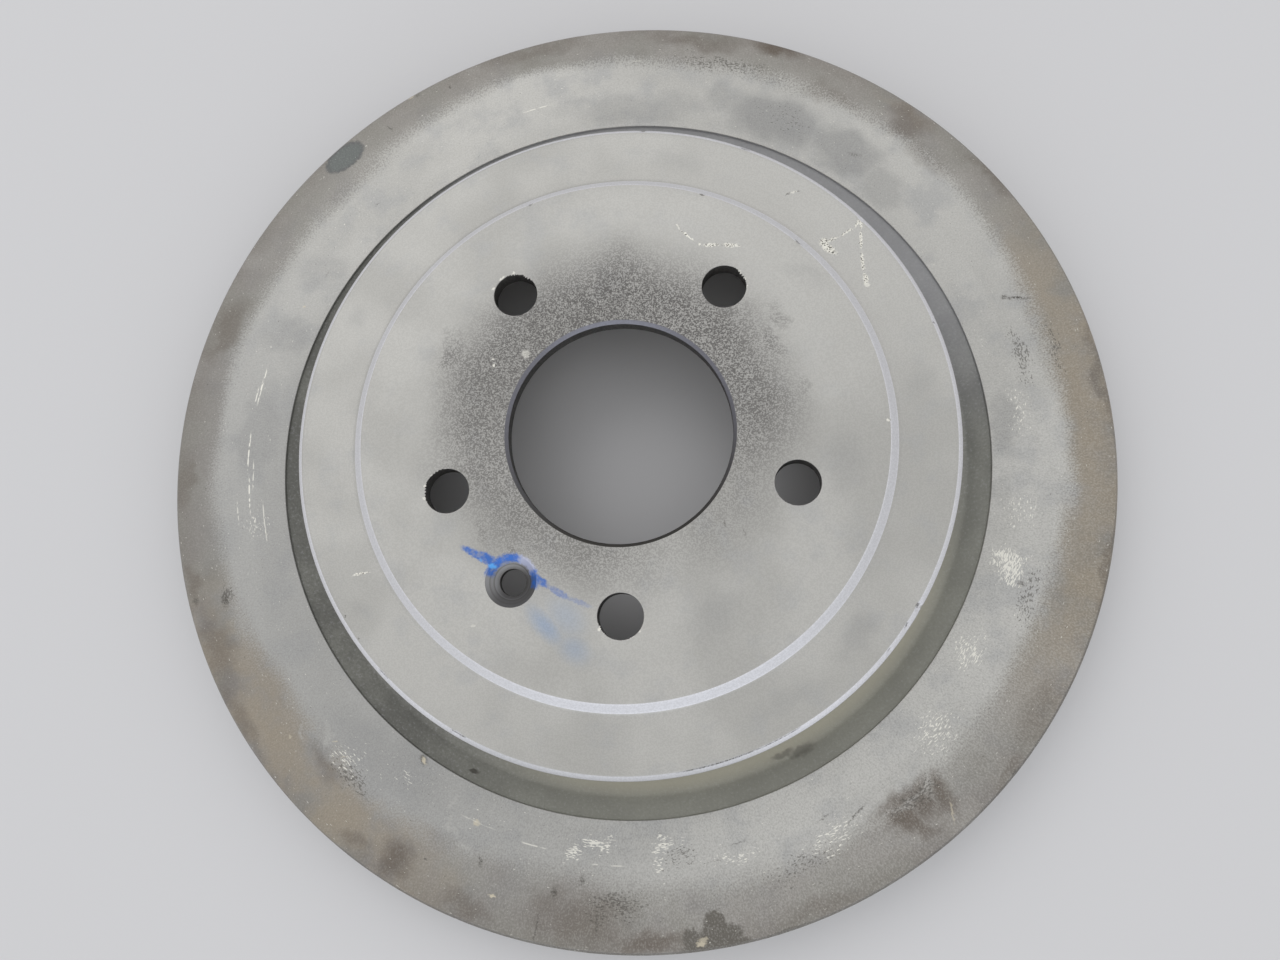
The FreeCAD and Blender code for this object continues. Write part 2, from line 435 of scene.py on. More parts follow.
# Where the track's flecks and specks lie thick, as ovals
FLECK_FIELDS = (
    (341, 129.5, 18, 17, 0, 1.0),
    (342, 127.5, 10, 12, 0, 1.0),
    (327.5, 129, 18, 14, 0, 0.8),
    (275, 127.5, 13, 9, 0, 1.0),
    (274, 132.5, 7, 8, 0, 0.9),
    (265.6, 127, 17, 7, 0, 1.0),
    (262.6, 132, 9, 9, 0, 0.95),
    (285, 135, 26, 9, 0, 0.6),
    (297, 140, 30, 14, 0, 0.6),
    (316, 134, 30, 16, 0, 0.6),
    (349, 130, 16, 14, 0, 0.5),
    (4, 130, 30, 12, 0, 0.5),
    (228, 136, 18, 18, 20, 0.6),
    (236, 130, 14, 12, 0, 0.5),
    (190, 131, 22, 14, 0, 0.45),
)
SPECK_FIELDS = (
    (12, 134, 34, 11, 0, 0.9),
    (308, 144, 34, 14, 0, 0.9),
    (338, 138, 34, 12, 0, 0.8),
    (268, 146, 34, 16, 0, 0.9),
    (277, 132, 16, 12, 0, 0.7),
    (230, 141, 28, 12, 0, 0.8),
    (199, 146, 12, 9, 0, 0.9),
    (76, 148, 60, 9, 0, 0.8),
    (12, 146, 40, 9, 0, 0.7),
    (292, 143, 40, 14, 0, 0.6),
    (64, 132, 30, 16, 0, 0.4),
)

# Marks of the hat's top: ovals, strokes and lines in the terms of the track's
HALO_PATCHES = (
    (154, 60, 26, 15, 20, 0.7),
    (98, 55, 24, 12, 0, 0.6),
    (29, 55, 24, 12, 0, 0.7),
    (36, 62, 16, 9, 0, 0.5),
    (170, 56, 24, 10, 0, 0.5),
    (12, 58, 20, 10, 0, 0.4),
    (216, 53, 22, 8, 0, 0.5),
    (90, 43, 30, 8, 0, 0.4),
    (228, 50, 12, 6, 0, 0.6),
    (240, 48, 10, 8, 0, 0.5),
    (0, 44, 16, 10, 0, 0.5),
)
HAT_DULL = (
    (296, 64, 28, 22, 20, 0.7),
    (350, 70, 30, 20, 0, 0.7),
    (318, 95, 24, 12, 0, 0.8),
    (300, 96, 36, 10, 0, 0.5),
    (155, 97, 12, 12, 60, 0.6),
    (8, 95, 20, 14, 0, 0.5),
    (78, 95, 26, 12, 0, 0.5),
    (213, 98, 10, 8, 30, 0.5),
    (40, 78, 24, 10, 20, 0.4),
)
HAT_SCRATCHES = (
    (71.5, 74.8, 69.4, 73.2, 0.7, 0.9),
    (69.6, 73.4, 66.7, 67.8, 0.8, 1.0),
    (67.4, 67.2, 66.1, 66.6, 1.2, 0.9),
    (66.3, 66.4, 69.3, 61.3, 1.7, 0.9),
    (69.1, 61.6, 72.0, 56.5, 1.9, 0.9),
    (104.7, 41.5, 100.7, 40.7, 1.1, 1.0),
    (104.4, 41.3, 101.9, 39.7, 1.1, 1.0),
    (102.1, 39.9, 97.1, 36.6, 1.3, 1.0),
    (97.3, 36.7, 93.2, 32.6, 1.5, 1.0),
    (93.5, 32.9, 91.7, 30.3, 2.0, 1.0),
    (100.9, 40.9, 95.0, 41.6, 0.9, 0.9),
    (95.4, 41.5, 90.2, 42.8, 1.2, 0.9),
    (96.4, 206.9, 89.6, 208.3, 0.9, 1.0),
    (96.9, 54.8, 99.2, 53.6, 0.7, 0.6),
)
HAT_SCRIBBLE = (
    (41.2, 90.0, 8, 3.2, 8, 1.0),
    (42.8, 90.4, 4, 4.0, 0, 0.9),
)
HAT_DARK = (
    (55.0, 96.4, 3, 0.8, 60, 0.6),
    (53.6, 99.2, 2.4, 0.8, 60, 0.6),
    (319, 50.4, 3.5, 0.9, 60, 0.5),
    (317, 43.8, 3.5, 0.7, 60, 0.5),
    (213, 103.5, 0.9, 0.9, 0, 0.7),
    (217.5, 103.6, 0.9, 0.9, 0, 0.7),
    (66.5, 105.3, 5, 1.2, 0, 0.7),
    (85.6, 105.9, 1.6, 1.2, 0, 0.7),
    (18.5, 104.6, 1.2, 0.9, 0, 0.7),
    (46.3, 83.9, 3.5, 0.9, 0, 0.8),
    (70.7, 83.2, 2.2, 0.8, 0, 0.7),
    (110.7, 83.2, 1.4, 0.8, 0, 0.6),
    (328.1, 104.4, 2.4, 1.3, 0, 0.9),
    (324.4, 104.6, 2.6, 0.8, 0, 0.8),
    (319.4, 104.6, 1.8, 0.7, 0, 0.7),
)
HAT_LIGHT = (
    (52.6, 64.1, 1.0, 1.6, 30, 0.9),
    (50.2, 63.1, 0.8, 1.4, 0, 0.8),
    (48.4, 61.6, 0.8, 1.2, 0, 0.8),
    (126.4, 64.9, 2.6, 0.9, 0, 0.8),
    (130.0, 63.9, 2.0, 0.9, 0, 0.8),
    (122.6, 64.2, 1.8, 0.9, 0, 0.7),
    (194.6, 63.7, 1.2, 1.4, 20, 0.7),
    (198.0, 65.0, 1.6, 0.9, 0, 0.7),
    (192.2, 61.0, 1.4, 1.0, 30, 0.7),
    (264.2, 61.4, 1.0, 2.6, -40, 0.9),
    (275.4, 62.2, 1.2, 0.9, 30, 0.6),
    (139, 40.0, 3.2, 3.6, 0, 0.5),
    (150.8, 46.3, 1.4, 1.2, 0, 0.9),
    (148.6, 48.0, 1.2, 1.0, 0, 0.8),
    (30.4, 91.8, 2.6, 2.2, 0, 0.8),
    (0.7, 82.6, 1.4, 1.0, 0, 1.0),
    (233, 75, 2.4, 1.0, 40, 0.4),
)
# The lines round 286° and 296° are painted shadow in a gap along the chamfer's upper edge, which the mesh
# also carries as a shallow nick
HAT_DARK_LINES = (
    (104.4, 286, 8.0, 0.5, 0.9),
    (104.5, 296, 5.0, 0.4, 0.7),
    (104.5, 241.5, 1.6, 0.5, 0.8),
    (104.5, 225.0, 1.4, 0.5, 0.6),
)
INK_STROKES = (
    (61.2, 214.8, 57.3, 224.8, 3.0, 0.9),
    (59.0, 219.0, 55.8, 228.2, 4.2, 0.95),
    (52.4, 237.0, 53.2, 246.6, 3.2, 0.85),
    (53.0, 244.0, 54.6, 254.5, 2.6, 0.5),
    (54.0, 252.0, 55.6, 262.0, 2.2, 0.3),
)
INK_SHINE = (
    (226.3, 57.6, 3.0, 2.2, 30, 0.9),
    (222.5, 58.6, 1.8, 1.2, 0, 0.5),
)
INK_HAZE = (
    (60.5, 240.0, 69.5, 257.0, 9.0, 0.55),
    (55.0, 244.0, 66.0, 262.0, 15.0, 0.3),
    (66.0, 252.0, 72.0, 264.0, 12.0, 0.35),
)

# Marks of the as-cast recess, as ovals
CAST_MARKS = (
    (244, 117.3, 4, 2.2, 15, 0.9),
    (299, 113.6, 12, 4, 0, 0.5),
    (296, 112, 10, 3, 0, 0.5),
)

# Light: a sky, a soft lamp high on the far side and a wide bluish one low on the near side
FLOOR_TONE = shade(204, 204, 207)
SKY_OVERHEAD = 1.06
SKY_LOW = 0.55
SKY_TINT = (1.0, 1.0, 0.99, 1.0)
BACKDROP = 0.8
KEY_LAMP = dict(place=(-0.9, 1.2, 2.2), size=(1.6, 1.6), power=8.0, colour=(1.0, 0.99, 0.97))
NEAR_LAMP = dict(place=(0.2, -4.2, 1.05), size=(7.5, 1.3), power=64.0, colour=(0.84, 0.91, 1.0))


def on_circle(radius, angle, height):
    """Points from cylinder coordinates, any of which may be an array."""
    parts = np.broadcast_arrays(radius * np.cos(angle), radius * np.sin(angle), height)
    return np.stack(parts, axis=-1)


def round_turn(count):
    """Angles of that many points spread evenly round the axis, from +X."""
    return np.arange(count) * (2 * math.pi / count)


def section(corners):
    """Points (r, z) along straight runs through corners (r, z, radius).

    A corner with a radius becomes an arc that meets both runs at a tangent: its centre lies on
    the bisector, and each point is a blend of the two radii to the tangent points by the sines
    of the angle gone and the angle left.
    """
    corners = np.asarray(corners, float)
    path = [corners[0, :2]]
    for before, here, after in zip(corners[:-2], corners[1:-1], corners[2:]):
        point, radius = here[:2], here[2]
        if radius == 0:
            path.append(point)
            continue
        back = (before[:2] - point) / np.linalg.norm(before[:2] - point)
        ahead = (after[:2] - point) / np.linalg.norm(after[:2] - point)
        half = math.acos(np.clip(back @ ahead, -1, 1)) / 2
        centre = point + (back + ahead) / np.linalg.norm(back + ahead) * radius / math.sin(half)
        start = point + back * radius / math.tan(half) - centre
        end = point + ahead * radius / math.tan(half) - centre
        turn = math.pi - 2 * half
        arc_step = LARGE_ARC_STEP if radius >= LARGE_ARC_R else SMALL_ARC_STEP
        steps = max(2, math.ceil(turn / arc_step - ARC_SLACK))
        for share in np.linspace(0, 1, steps + 1):
            blend = start * math.sin((1 - share) * turn) + end * math.sin(share * turn)
            path.append(centre + blend / math.sin(turn))
    path.append(corners[-1, :2])
    return np.array(path)


class Skin:
    """Sheets of points in millimetres, gathered here and then welded into one closed mesh."""

    def __init__(self):
        self.points = []
        self.faces = []
        self.count = 0

    def add(self, grid):
        """Keeps the points of a grid and gives back their numbers in the same layout."""
        numbers = self.count + np.arange(grid[..., 0].size).reshape(grid.shape[:-1])
        self.points.append(grid.reshape(-1, 3))
        self.count += numbers.size
        return numbers

    def closed_sheet(self, grid):
        """Quads between neighbouring rows of a grid whose last column meets its first."""
        numbers = self.add(grid)
        self.quads(np.hstack([numbers, numbers[:, :1]]))

    def open_sheet(self, grid):
        """Quads between neighbouring rows and columns of a grid."""
        self.quads(self.add(grid))

    def quads(self, numbers):
        corners = (numbers[:-1, :-1], numbers[:-1, 1:], numbers[1:, 1:], numbers[1:, :-1])
        self.faces.append(np.stack(corners, axis=-1).reshape(-1, 4))

    def turned(self, path, count):
        """A section (r, z) swept round the axis: each of its points becomes a ring."""
        path = np.asarray(path)
        self.closed_sheet(on_circle(path[:, :1], round_turn(count), path[:, 1:2]))

    def doubled(self, coarse_rz, fine_rz, coarse_count):
        """A band of triangles between a ring and a ring with twice its points.

        Over each coarse step, one triangle stands on the coarse side and two on the fine side.
        """
        coarse = self.add(on_circle(coarse_rz[0], round_turn(coarse_count), coarse_rz[1]))
        fine = self.add(on_circle(fine_rz[0], round_turn(2 * coarse_count), fine_rz[1]))
        coarse_next = np.roll(coarse, -1)
        even, odd = fine[0::2], fine[1::2]
        even_next = np.roll(even, -1)
        self.faces.append(np.stack([coarse, even, odd], axis=-1))
        self.faces.append(np.stack([coarse, odd, coarse_next], axis=-1))
        self.faces.append(np.stack([coarse_next, odd, even_next], axis=-1))


def add_bore(skin):
    """The hub bore, from the wheel seat down its chamfers to the hub seat."""
    skin.turned(section([
        (CELL_IN_R, platform_z, 0),
        (BORE_R + BORE_CHAMFER, platform_z, EDGE_BREAK),
        (BORE_R, platform_z - BORE_CHAMFER, EDGE_BREAK),
        (BORE_R, HUB_SEAT_Z + BORE_BACK_CHAMFER, EDGE_BREAK),
        (BORE_R + BORE_BACK_CHAMFER, HUB_SEAT_Z, EDGE_BREAK),
        (CELL_IN_R, HUB_SEAT_Z, 0),
    ]), COARSE)


def add_hub_side(skin):
    """The plate's underside, the drum, its lip, and the neck out to the vanes' ceiling."""
    turn_out_r = TRACK_R + VANE_RING_OUT
    skin.turned(section([
        (CELL_OUT_R, HUB_SEAT_Z, 0),
        (HUB_SEAT_R, HUB_SEAT_Z, EDGE_BREAK),
        (HUB_SEAT_R, HUB_SEAT_Z + SEAT_STEP, SEAT_STEP_ROUND),
        (LIP_R, HUB_SEAT_Z + SEAT_STEP, PLATE_EDGE_ROUND),
        (UNDERSIDE_R, UNDERSIDE_Z, UNDERSIDE_ROUND),
        (DRUM_RELIEF_R, UNDERSIDE_Z, DRUM_END_ROUND),
        (DRUM_RELIEF_R, DRUM_TOP_Z + RELIEF_STEP, EDGE_BREAK),
        (DRUM_R, DRUM_TOP_Z, EDGE_BREAK),
        (DRUM_R, DRUM_LEAD_IN_Z, SOFT_EDGE),
        (DRUM_R + LEAD_IN, DRUM_LIP_Z, SOFT_EDGE),
        (HAT_R, DRUM_LIP_Z, SKIRT_ROUND),
        (ROOT_R, NECK_Z, NECK_IN_ROUND),
        (RECESS_FLOOR_R + NECK_OUT, NECK_Z, NECK_OUT_ROUND),
        (TRACK_R + NECK_OUT, vane_high_z, INLET_ROUND),
        (turn_out_r, vane_high_z, 0),
    ]), COARSE)
    skin.doubled((turn_out_r, vane_high_z), (VANE_IN_R, vane_high_z), COARSE)


def add_inboard_track(skin):
    """From the vanes' floor over the inner edge, out along the inboard track and up to the belt."""
    turn_in_r = TRACK_R + VANE_RING_OUT
    fine_from, coarse_to = rim_r - RIM_FINE_IN, rim_r - RIM_COARSE_IN
    skin.doubled((turn_in_r, vane_low_z), (VANE_IN_R, vane_low_z), COARSE)
    skin.turned(section([
        (turn_in_r, vane_low_z, 0),
        (TRACK_R, vane_low_z, SOFT_EDGE),
        (TRACK_R, TRACK_EDGE_CHAMFER, EDGE_BREAK),
        (TRACK_R + TRACK_EDGE_CHAMFER, 0, EDGE_BREAK),
        (coarse_to, 0, 0),
    ]), COARSE)
    skin.doubled((coarse_to, 0), (fine_from, 0), COARSE)
    skin.turned(section([
        (fine_from, 0, 0),
        (rim_r - RIM_CHAMFER, 0, EDGE_BREAK),
        (rim_r, RIM_CHAMFER, EDGE_BREAK),
        (rim_r, vane_low_z - BELT_MARGIN, 0),
    ]), MEDIUM)


def add_outboard_track(skin):
    """From the belt over the rim's upper chamfer and in along the outboard track."""
    fine_from, coarse_to = rim_r - RIM_FINE_IN, rim_r - RIM_COARSE_IN
    skin.turned(section([
        (rim_r, vane_high_z + BELT_MARGIN, 0),
        (rim_r, RING_T - RIM_CHAMFER, EDGE_BREAK),
        (rim_r - RIM_CHAMFER, RING_T, EDGE_BREAK),
        (fine_from, RING_T, 0),
    ]), MEDIUM)
    skin.doubled((coarse_to, RING_T), (fine_from, RING_T), COARSE)


def add_recess(skin):
    """The outboard track's inner edge, the recess behind it and the lower part of the hat's wall."""
    medium_low, medium_top = (wall_rz(z) for z in WALL_MEDIUM_Z)
    skin.turned(section([
        (rim_r - RIM_COARSE_IN, RING_T, 0),
        (TRACK_R, RING_T, EDGE_BREAK),
        (TRACK_R, TRACK_STEP_Z, SOFT_EDGE),
        (RECESS_FLOOR_R, RECESS_Z, RECESS_ROUND),
        (ROOT_R, RECESS_Z, ROOT_ROUND),
        (*wall_rz(WALL_COARSE_Z), 0),
    ]), COARSE)
    skin.doubled(wall_rz(WALL_COARSE_Z), medium_low, COARSE)
    skin.turned([medium_low, medium_top], MEDIUM)
    skin.doubled(medium_top, wall_rz(WALL_FINE_Z[0]), MEDIUM)


def wall_rz(z):
    """The drafted wall's (radius, height) at a height between the recess's root and the hat's edge."""
    edge_z = SHOULDER_Z - HAT_CHAMFER
    return ROOT_R + (HAT_R - ROOT_R) * (z - RECESS_Z) / (edge_z - RECESS_Z), z


def nicked(path, count, nicks, push):
    """A ring sheet of a section (r, z) whose points are pushed along (r, z) where a nick lies.

    The push is a bell over the distance from the nick's middle, measured along the edge and
    across it, and a seeded random number for each point of the ring makes its floor uneven. The
    first and last rings stay where they are, as they meet the next sheets.
    """
    path = np.asarray(path)
    turn = round_turn(count)
    uneven = np.random.default_rng(NICK_SEED).uniform(0.35, 1.0, count)
    depth = np.zeros((len(path), count))
    for angle, radius, height, length, reach, most in nicks:
        off_turn = (turn - math.radians(angle) + math.pi) % (2 * math.pi) - math.pi
        along = np.exp(-(off_turn * radius / (length / 2)) ** 4)
        across = np.exp(-((path[:, 0] - radius) ** 2 + (path[:, 1] - height) ** 2) / reach ** 2)
        depth = np.maximum(depth, most * across[:, None] * (along * uneven))
    depth[[0, -1]] = 0.0
    return on_circle(path[:, :1] + push[0] * depth, turn, path[:, 1:2] + push[1] * depth)


def add_hat_edge(skin):
    """The top of the wall, its chamfer and the outer shoulder, in the finest rings."""
    chamfer_in = HAT_R - HAT_CHAMFER
    fine_in, medium_in = chamfer_in - SHOULDER_FINE_IN[1], chamfer_in - SHOULDER_MEDIUM_IN
    edge_z = SHOULDER_Z - HAT_CHAMFER
    path = section([
        (*wall_rz(WALL_FINE_Z[0]), 0),
        (*wall_rz(WALL_FINE_Z[1]), 0),
        (HAT_R, edge_z, HAT_ROUND),
        (HAT_R - HAT_CHAMFER / 2, edge_z + HAT_CHAMFER / 2, 0),
        (chamfer_in, SHOULDER_Z, HAT_ROUND),
        (chamfer_in - SHOULDER_FINE_IN[0], SHOULDER_Z, 0),
        (fine_in, SHOULDER_Z, 0),
    ])
    skin.closed_sheet(nicked(path, FINE, HAT_NICKS, (-0.7, -0.7)))
    skin.doubled((medium_in, SHOULDER_Z), (fine_in, SHOULDER_Z), MEDIUM)


def add_shoulder(skin):
    """The shoulder, the step up to the wheel seat and the seat's outer part."""
    seat_ring_r = CELL_OUT_R + SEAT_RING_OUT
    path = section([
        (HAT_R - HAT_CHAMFER - SHOULDER_MEDIUM_IN, SHOULDER_Z, 0),
        (FOOT_R, SHOULDER_Z, SLOPE_FOOT_ROUND),
        (LIP_R, platform_z, SLOPE_ROUND),
        (LIP_R - LIP_RING_IN, platform_z, 0),
        (seat_ring_r, platform_z, 0),
    ])
    skin.closed_sheet(nicked(path, MEDIUM, LIP_NICKS, (-0.5, -0.8)))
    skin.doubled((CELL_OUT_R, platform_z), (seat_ring_r, platform_z), COARSE)


def cell_edge(middle):
    """Points (x, y) round a cell of the plate: inner arc, side, outer arc and side, in turn."""
    half = math.pi / CELL_COUNT
    arc_steps = COARSE // CELL_COUNT
    swing = np.linspace(-half, half, arc_steps + 1)[:-1]
    out = np.linspace(CELL_IN_R, CELL_OUT_R, CELL_SIDE_STEPS + 1)[:-1]
    back = np.linspace(CELL_OUT_R, CELL_IN_R, CELL_SIDE_STEPS + 1)[:-1]
    radius = np.concatenate([np.full(arc_steps, CELL_IN_R), out, np.full(arc_steps, CELL_OUT_R), back])
    angle = np.concatenate([swing, np.full(out.size, half), -swing, np.full(back.size, -half)])
    return on_circle(radius, angle + middle, 0.0)[:, :2]


def burrs(sight, middle):
    """How far the burrs stand into a bolt hole along each sight line, in millimetres.

    Every other line keeps a short share and the rest a long one, each scaled by a seeded random
    number, so that the edge is torn into teeth.
    """
    facing = np.arctan2(sight[:, 1], sight[:, 0])
    draw = np.random.default_rng(BURR_SEED).uniform(0.2, 1.0, len(facing))
    torn = draw * np.where(np.arange(len(facing)) % 2 == 0, 1.0, 0.25)
    stand = np.zeros(len(facing))
    for hole, direction, half, length in BURRS:
        if abs(math.degrees(middle) - hole) > 1:
            continue
        off = np.abs((facing - math.radians(direction) + math.pi) % (2 * math.pi) - math.pi)
        stand = np.maximum(stand, length * torn * np.clip(2 * (1 - off / math.radians(half)), 0, 1))
    return stand


def add_drilled_cell(skin, middle, hole):
    """One cell with its hole, both faces and the wall between them in one sheet of loops.

    Each point of the cell's edge looks at the hole's centre. The loops between them divide that
    line, and a loop of the hole, one for each (radius, z) of its section, lies on it as well.
    """
    edge = cell_edge(middle)
    centre = BOLT_CIRCLE_R * np.array([math.cos(middle), math.sin(middle)])
    sight = edge - centre
    sight /= np.linalg.norm(sight, axis=1, keepdims=True)
    shares = (0.0, 0.4, 0.75)

    def loop(flat, height):
        return np.column_stack([flat, np.full(len(flat), height)])

    top_circle = centre + sight * hole[0][0]
    low_circle = centre + sight * hole[-1][0]
    burr = burrs(sight, middle)[:, None]
    rows = [loop(edge + (top_circle - edge) * share, platform_z) for share in shares]
    for radius, height in hole:
        drop = (platform_z - height) / BURR_DROP
        share = max(0.0, 1 - drop) if radius < BOLT_HOLE_R + BURR_REACH else 0.0
        rows.append(loop(centre + sight * (radius - share * burr), height))
    rows += [loop(edge + (low_circle - edge) * share, HUB_SEAT_Z) for share in reversed(shares)]
    skin.closed_sheet(np.array(rows))


def add_plain_cell(skin, middle):
    """A cell with no hole: its upper face and its lower face, each a polar grid."""
    half = math.pi / CELL_COUNT
    swing = middle + np.linspace(-half, half, COARSE // CELL_COUNT + 1)
    out = np.linspace(CELL_IN_R, CELL_OUT_R, CELL_SIDE_STEPS + 1)[:, None]
    skin.open_sheet(on_circle(out, swing, platform_z))
    skin.open_sheet(on_circle(out, swing, HUB_SEAT_Z))


def add_plate(skin):
    """The drilled plate: five bolt holes, the retaining screw's hole and the plain cells between."""
    bolt = section([
        (BOLT_LOOP_R, platform_z, 0),
        (BOLT_HOLE_R, platform_z, EDGE_BREAK),
        (BOLT_HOLE_R, HUB_SEAT_Z + BOLT_BACK_CHAMFER, BOLT_BACK_ROUND),
        (BOLT_HOLE_R + BOLT_BACK_CHAMFER, HUB_SEAT_Z, BOLT_BACK_ROUND),
        (BOLT_LOOP_R, HUB_SEAT_Z, 0),
    ])
    screw = section([
        (SCREW_LOOP_R, platform_z, 0),
        (SCREW_SINK_R, platform_z, SINK_ROUND),
        (SCREW_HOLE_R, platform_z - SCREW_SINK_DEPTH, SINK_ROUND),
        (SCREW_HOLE_R, HUB_SEAT_Z, SCREW_BACK_ROUND),
        (SCREW_BACK_LOOP_R, HUB_SEAT_Z, 0),
    ])
    step = 360 // CELL_COUNT
    for middle in range(step // 2, 360, step):
        if middle in BOLT_ANGLES:
            add_drilled_cell(skin, math.radians(middle), bolt)
        elif middle == SCREW_ANGLE:
            add_drilled_cell(skin, math.radians(middle), screw)
        else:
            add_plain_cell(skin, math.radians(middle))


def window_walk():
    """How the points of a channel's loop are spread, as a table with a row for each point.

    The columns are the point's place on the straight sides (-1 to 1 each way), its direction on
    the corner arc, and its place when the loop is a plain rectangle with even steps.
    """
    steps = MEDIUM // VANE_COUNT
    corner = WINDOW_CORNER_STEPS
    straight = steps - 2 * corner
    side_corner = WINDOW_SIDE_CORNER_STEPS
    side_straight = WINDOW_SIDE_STEPS - 2 * side_corner

    def run(corner_steps, straight_steps):
        """Place along one side and the swing of its corner arcs, from corner to corner."""
        place = np.concatenate([
            np.full(corner_steps, -1.0),
            np.linspace(-1, 1, straight_steps + 1),
            np.full(corner_steps, 1.0),
        ])
        swing = np.concatenate([
            np.linspace(-45, 0, corner_steps + 1)[:-1],
            np.zeros(straight_steps + 1),
            np.linspace(0, 45, corner_steps + 1)[1:],
        ])
        return place[:-1], np.radians(swing[:-1]), np.linspace(-1, 1, place.size)[:-1]

    wide, wide_swing, wide_even = run(corner, straight)
    tall, tall_swing, tall_even = run(side_corner, side_straight)
    ones_wide, ones_tall = np.ones(wide.size), np.ones(tall.size)
    quarter = math.pi / 2
    across = np.concatenate([wide, ones_tall, -wide, -ones_tall])
    upward = np.concatenate([-ones_wide, tall, ones_wide, -tall])
    facing = np.concatenate([
        wide_swing - quarter,
        tall_swing,
        wide_swing + quarter,
        tall_swing + 2 * quarter,
    ])
    even_across = np.concatenate([wide_even, ones_tall, -wide_even, -ones_tall])
    even_upward = np.concatenate([-ones_wide, tall_even, ones_wide, -tall_even])
    return across, upward, facing, even_across, even_upward


def channel_grid():
    """(radius, angle, height) of one air channel's loops, from the rim's belt in to the inlet.

    At each radius the loop is a rounded rectangle on a cylinder. Its half width is half a vane
    pitch less half the vane's thickness. Past the vane's straight part that thickness follows
    the round of its nose down to nothing, and the loop turns into a plain rectangle with even
    steps, whose sides meet the next channel's.
    """
    across, upward, facing, even_across, even_upward = window_walk()
    half_vane = VANE_T / 2
    nose = np.radians([90, 66, 43, 21, 0])
    straight_r = np.array([rim_r, rim_r - WINDOW_EDGE, VANE_STRAIGHT_R])
    radius = np.concatenate([straight_r, VANE_IN_R + half_vane * (1 - np.cos(nose))])
    vane = np.concatenate([np.full(straight_r.size, half_vane), half_vane * np.sin(nose)])
    plain = np.concatenate([np.zeros(straight_r.size), 1 - np.sin(nose)])
    widened = np.zeros(radius.size)
    widened[0] = WINDOW_EDGE

    radius, vane, plain, widened = (a[:, None] for a in (radius, vane, plain, widened))
    half_w = radius * (math.pi / VANE_COUNT - np.arcsin(vane / radius)) + widened
    half_h = (vane_high_z - vane_low_z) / 2 + widened
    corner = CHANNEL_CORNER_R * (1 - plain)
    x = across * (half_w - corner) + np.cos(facing) * corner
    y = upward * (half_h - corner) + np.sin(facing) * corner
    x += (even_across * half_w - x) * plain
    y += (even_upward * half_h - y) * plain

    belt_half_h = (vane_high_z - vane_low_z) / 2 + BELT_MARGIN
    belt_x = even_across * rim_r * math.pi / VANE_COUNT
    belt_y = even_upward * belt_half_h
    x = np.vstack([belt_x, x])
    y = np.vstack([belt_y, y])
    radius = np.vstack([[rim_r], radius])
    return radius, x / radius, y + RING_T / 2


def add_channels(skin):
    """The belt of the rim with its mouths, and the channels behind them."""
    radius, angle, height = channel_grid()
    pitch = 2 * math.pi / VANE_COUNT
    first = math.radians(BOLT_ANGLES[0]) + pitch / 2
    for index in range(VANE_COUNT):
        skin.closed_sheet(on_circle(radius, angle + first + index * pitch, height))


def casting_skin():
    """All sheets of the casting."""
    skin = Skin()
    add_bore(skin)
    add_plate(skin)
    add_shoulder(skin)
    add_hat_edge(skin)
    add_recess(skin)
    add_outboard_track(skin)
    add_channels(skin)
    add_inboard_track(skin)
    add_hub_side(skin)
    return skin


def welded_mesh(name, skin):
    """A mesh from a skin: points in metres, doubles merged and faces turned outwards."""
    points = np.concatenate(skin.points) * MM
    mesh = bpy.data.meshes.new(name)
    mesh.from_pydata(points.tolist(), [], [face for part in skin.faces for face in part.tolist()])
    work = bmesh.new()
    work.from_mesh(mesh)
    bmesh.ops.remove_doubles(work, verts=work.verts, dist=WELD)
    bmesh.ops.recalc_face_normals(work, faces=work.faces)
    work.to_mesh(mesh)
    work.free()
    return mesh


def smooth_by_area(mesh):
    """Smooth shading in which each face pulls a corner's normal by its area.

    A wide flat then keeps its own normal up to the small round beside it.
    """
    points = np.empty(len(mesh.vertices) * 3)
    mesh.vertices.foreach_get("co", points)
    points = points.reshape(-1, 3)
    mesh.calc_loop_triangles()
    corners = np.empty(len(mesh.loop_triangles) * 3, np.int32)
    mesh.loop_triangles.foreach_get("vertices", corners)
    a, b, c = points[corners.reshape(-1, 3)].transpose(1, 0, 2)
    pull = np.cross(b - a, c - a)
    normals = np.zeros_like(points)
    for corner in corners.reshape(-1, 3).T:
        np.add.at(normals, corner, pull)
    normals /= np.linalg.norm(normals, axis=1, keepdims=True)
    mesh.polygons.foreach_set("use_smooth", np.ones(len(mesh.polygons), bool))
    mesh.normals_split_custom_set_from_vertices(normals.tolist())


def make_casting():
    """The disc itself, which stands for the CAD solid."""
    mesh = welded_mesh("disc_casting", casting_skin())
    smooth_by_area(mesh)
    casting = bpy.data.objects.new("disc_casting", mesh)
    bpy.context.scene.collection.objects.link(casting)
    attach(casting, "root")
    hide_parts("brake_disc")
    return casting


def make_camera():
    """The photograph's viewpoint, worked out from the disc's own circles."""
    position = (29.855, -70.387, 329.835)
    right = (0.99635, -0.00892, -0.08485)
    up = (0.02477, 0.98193, 0.18763)
    back = (0.08164, -0.18905, 0.97857)
    lens = bpy.data.cameras.new("camera")
    lens.sensor_fit = "HORIZONTAL"
    lens.sensor_width = 36.0
    lens.lens = 26.243
    lens.clip_start = 0.01
    camera = bpy.data.objects.new("camera", lens)
    turned = Matrix((right, up, back)).transposed().to_4x4()
    place = Matrix.Translation([value * MM for value in position])
    camera.matrix_world = place @ turned
    bpy.context.scene.collection.objects.link(camera)
    bpy.context.scene.camera = camera


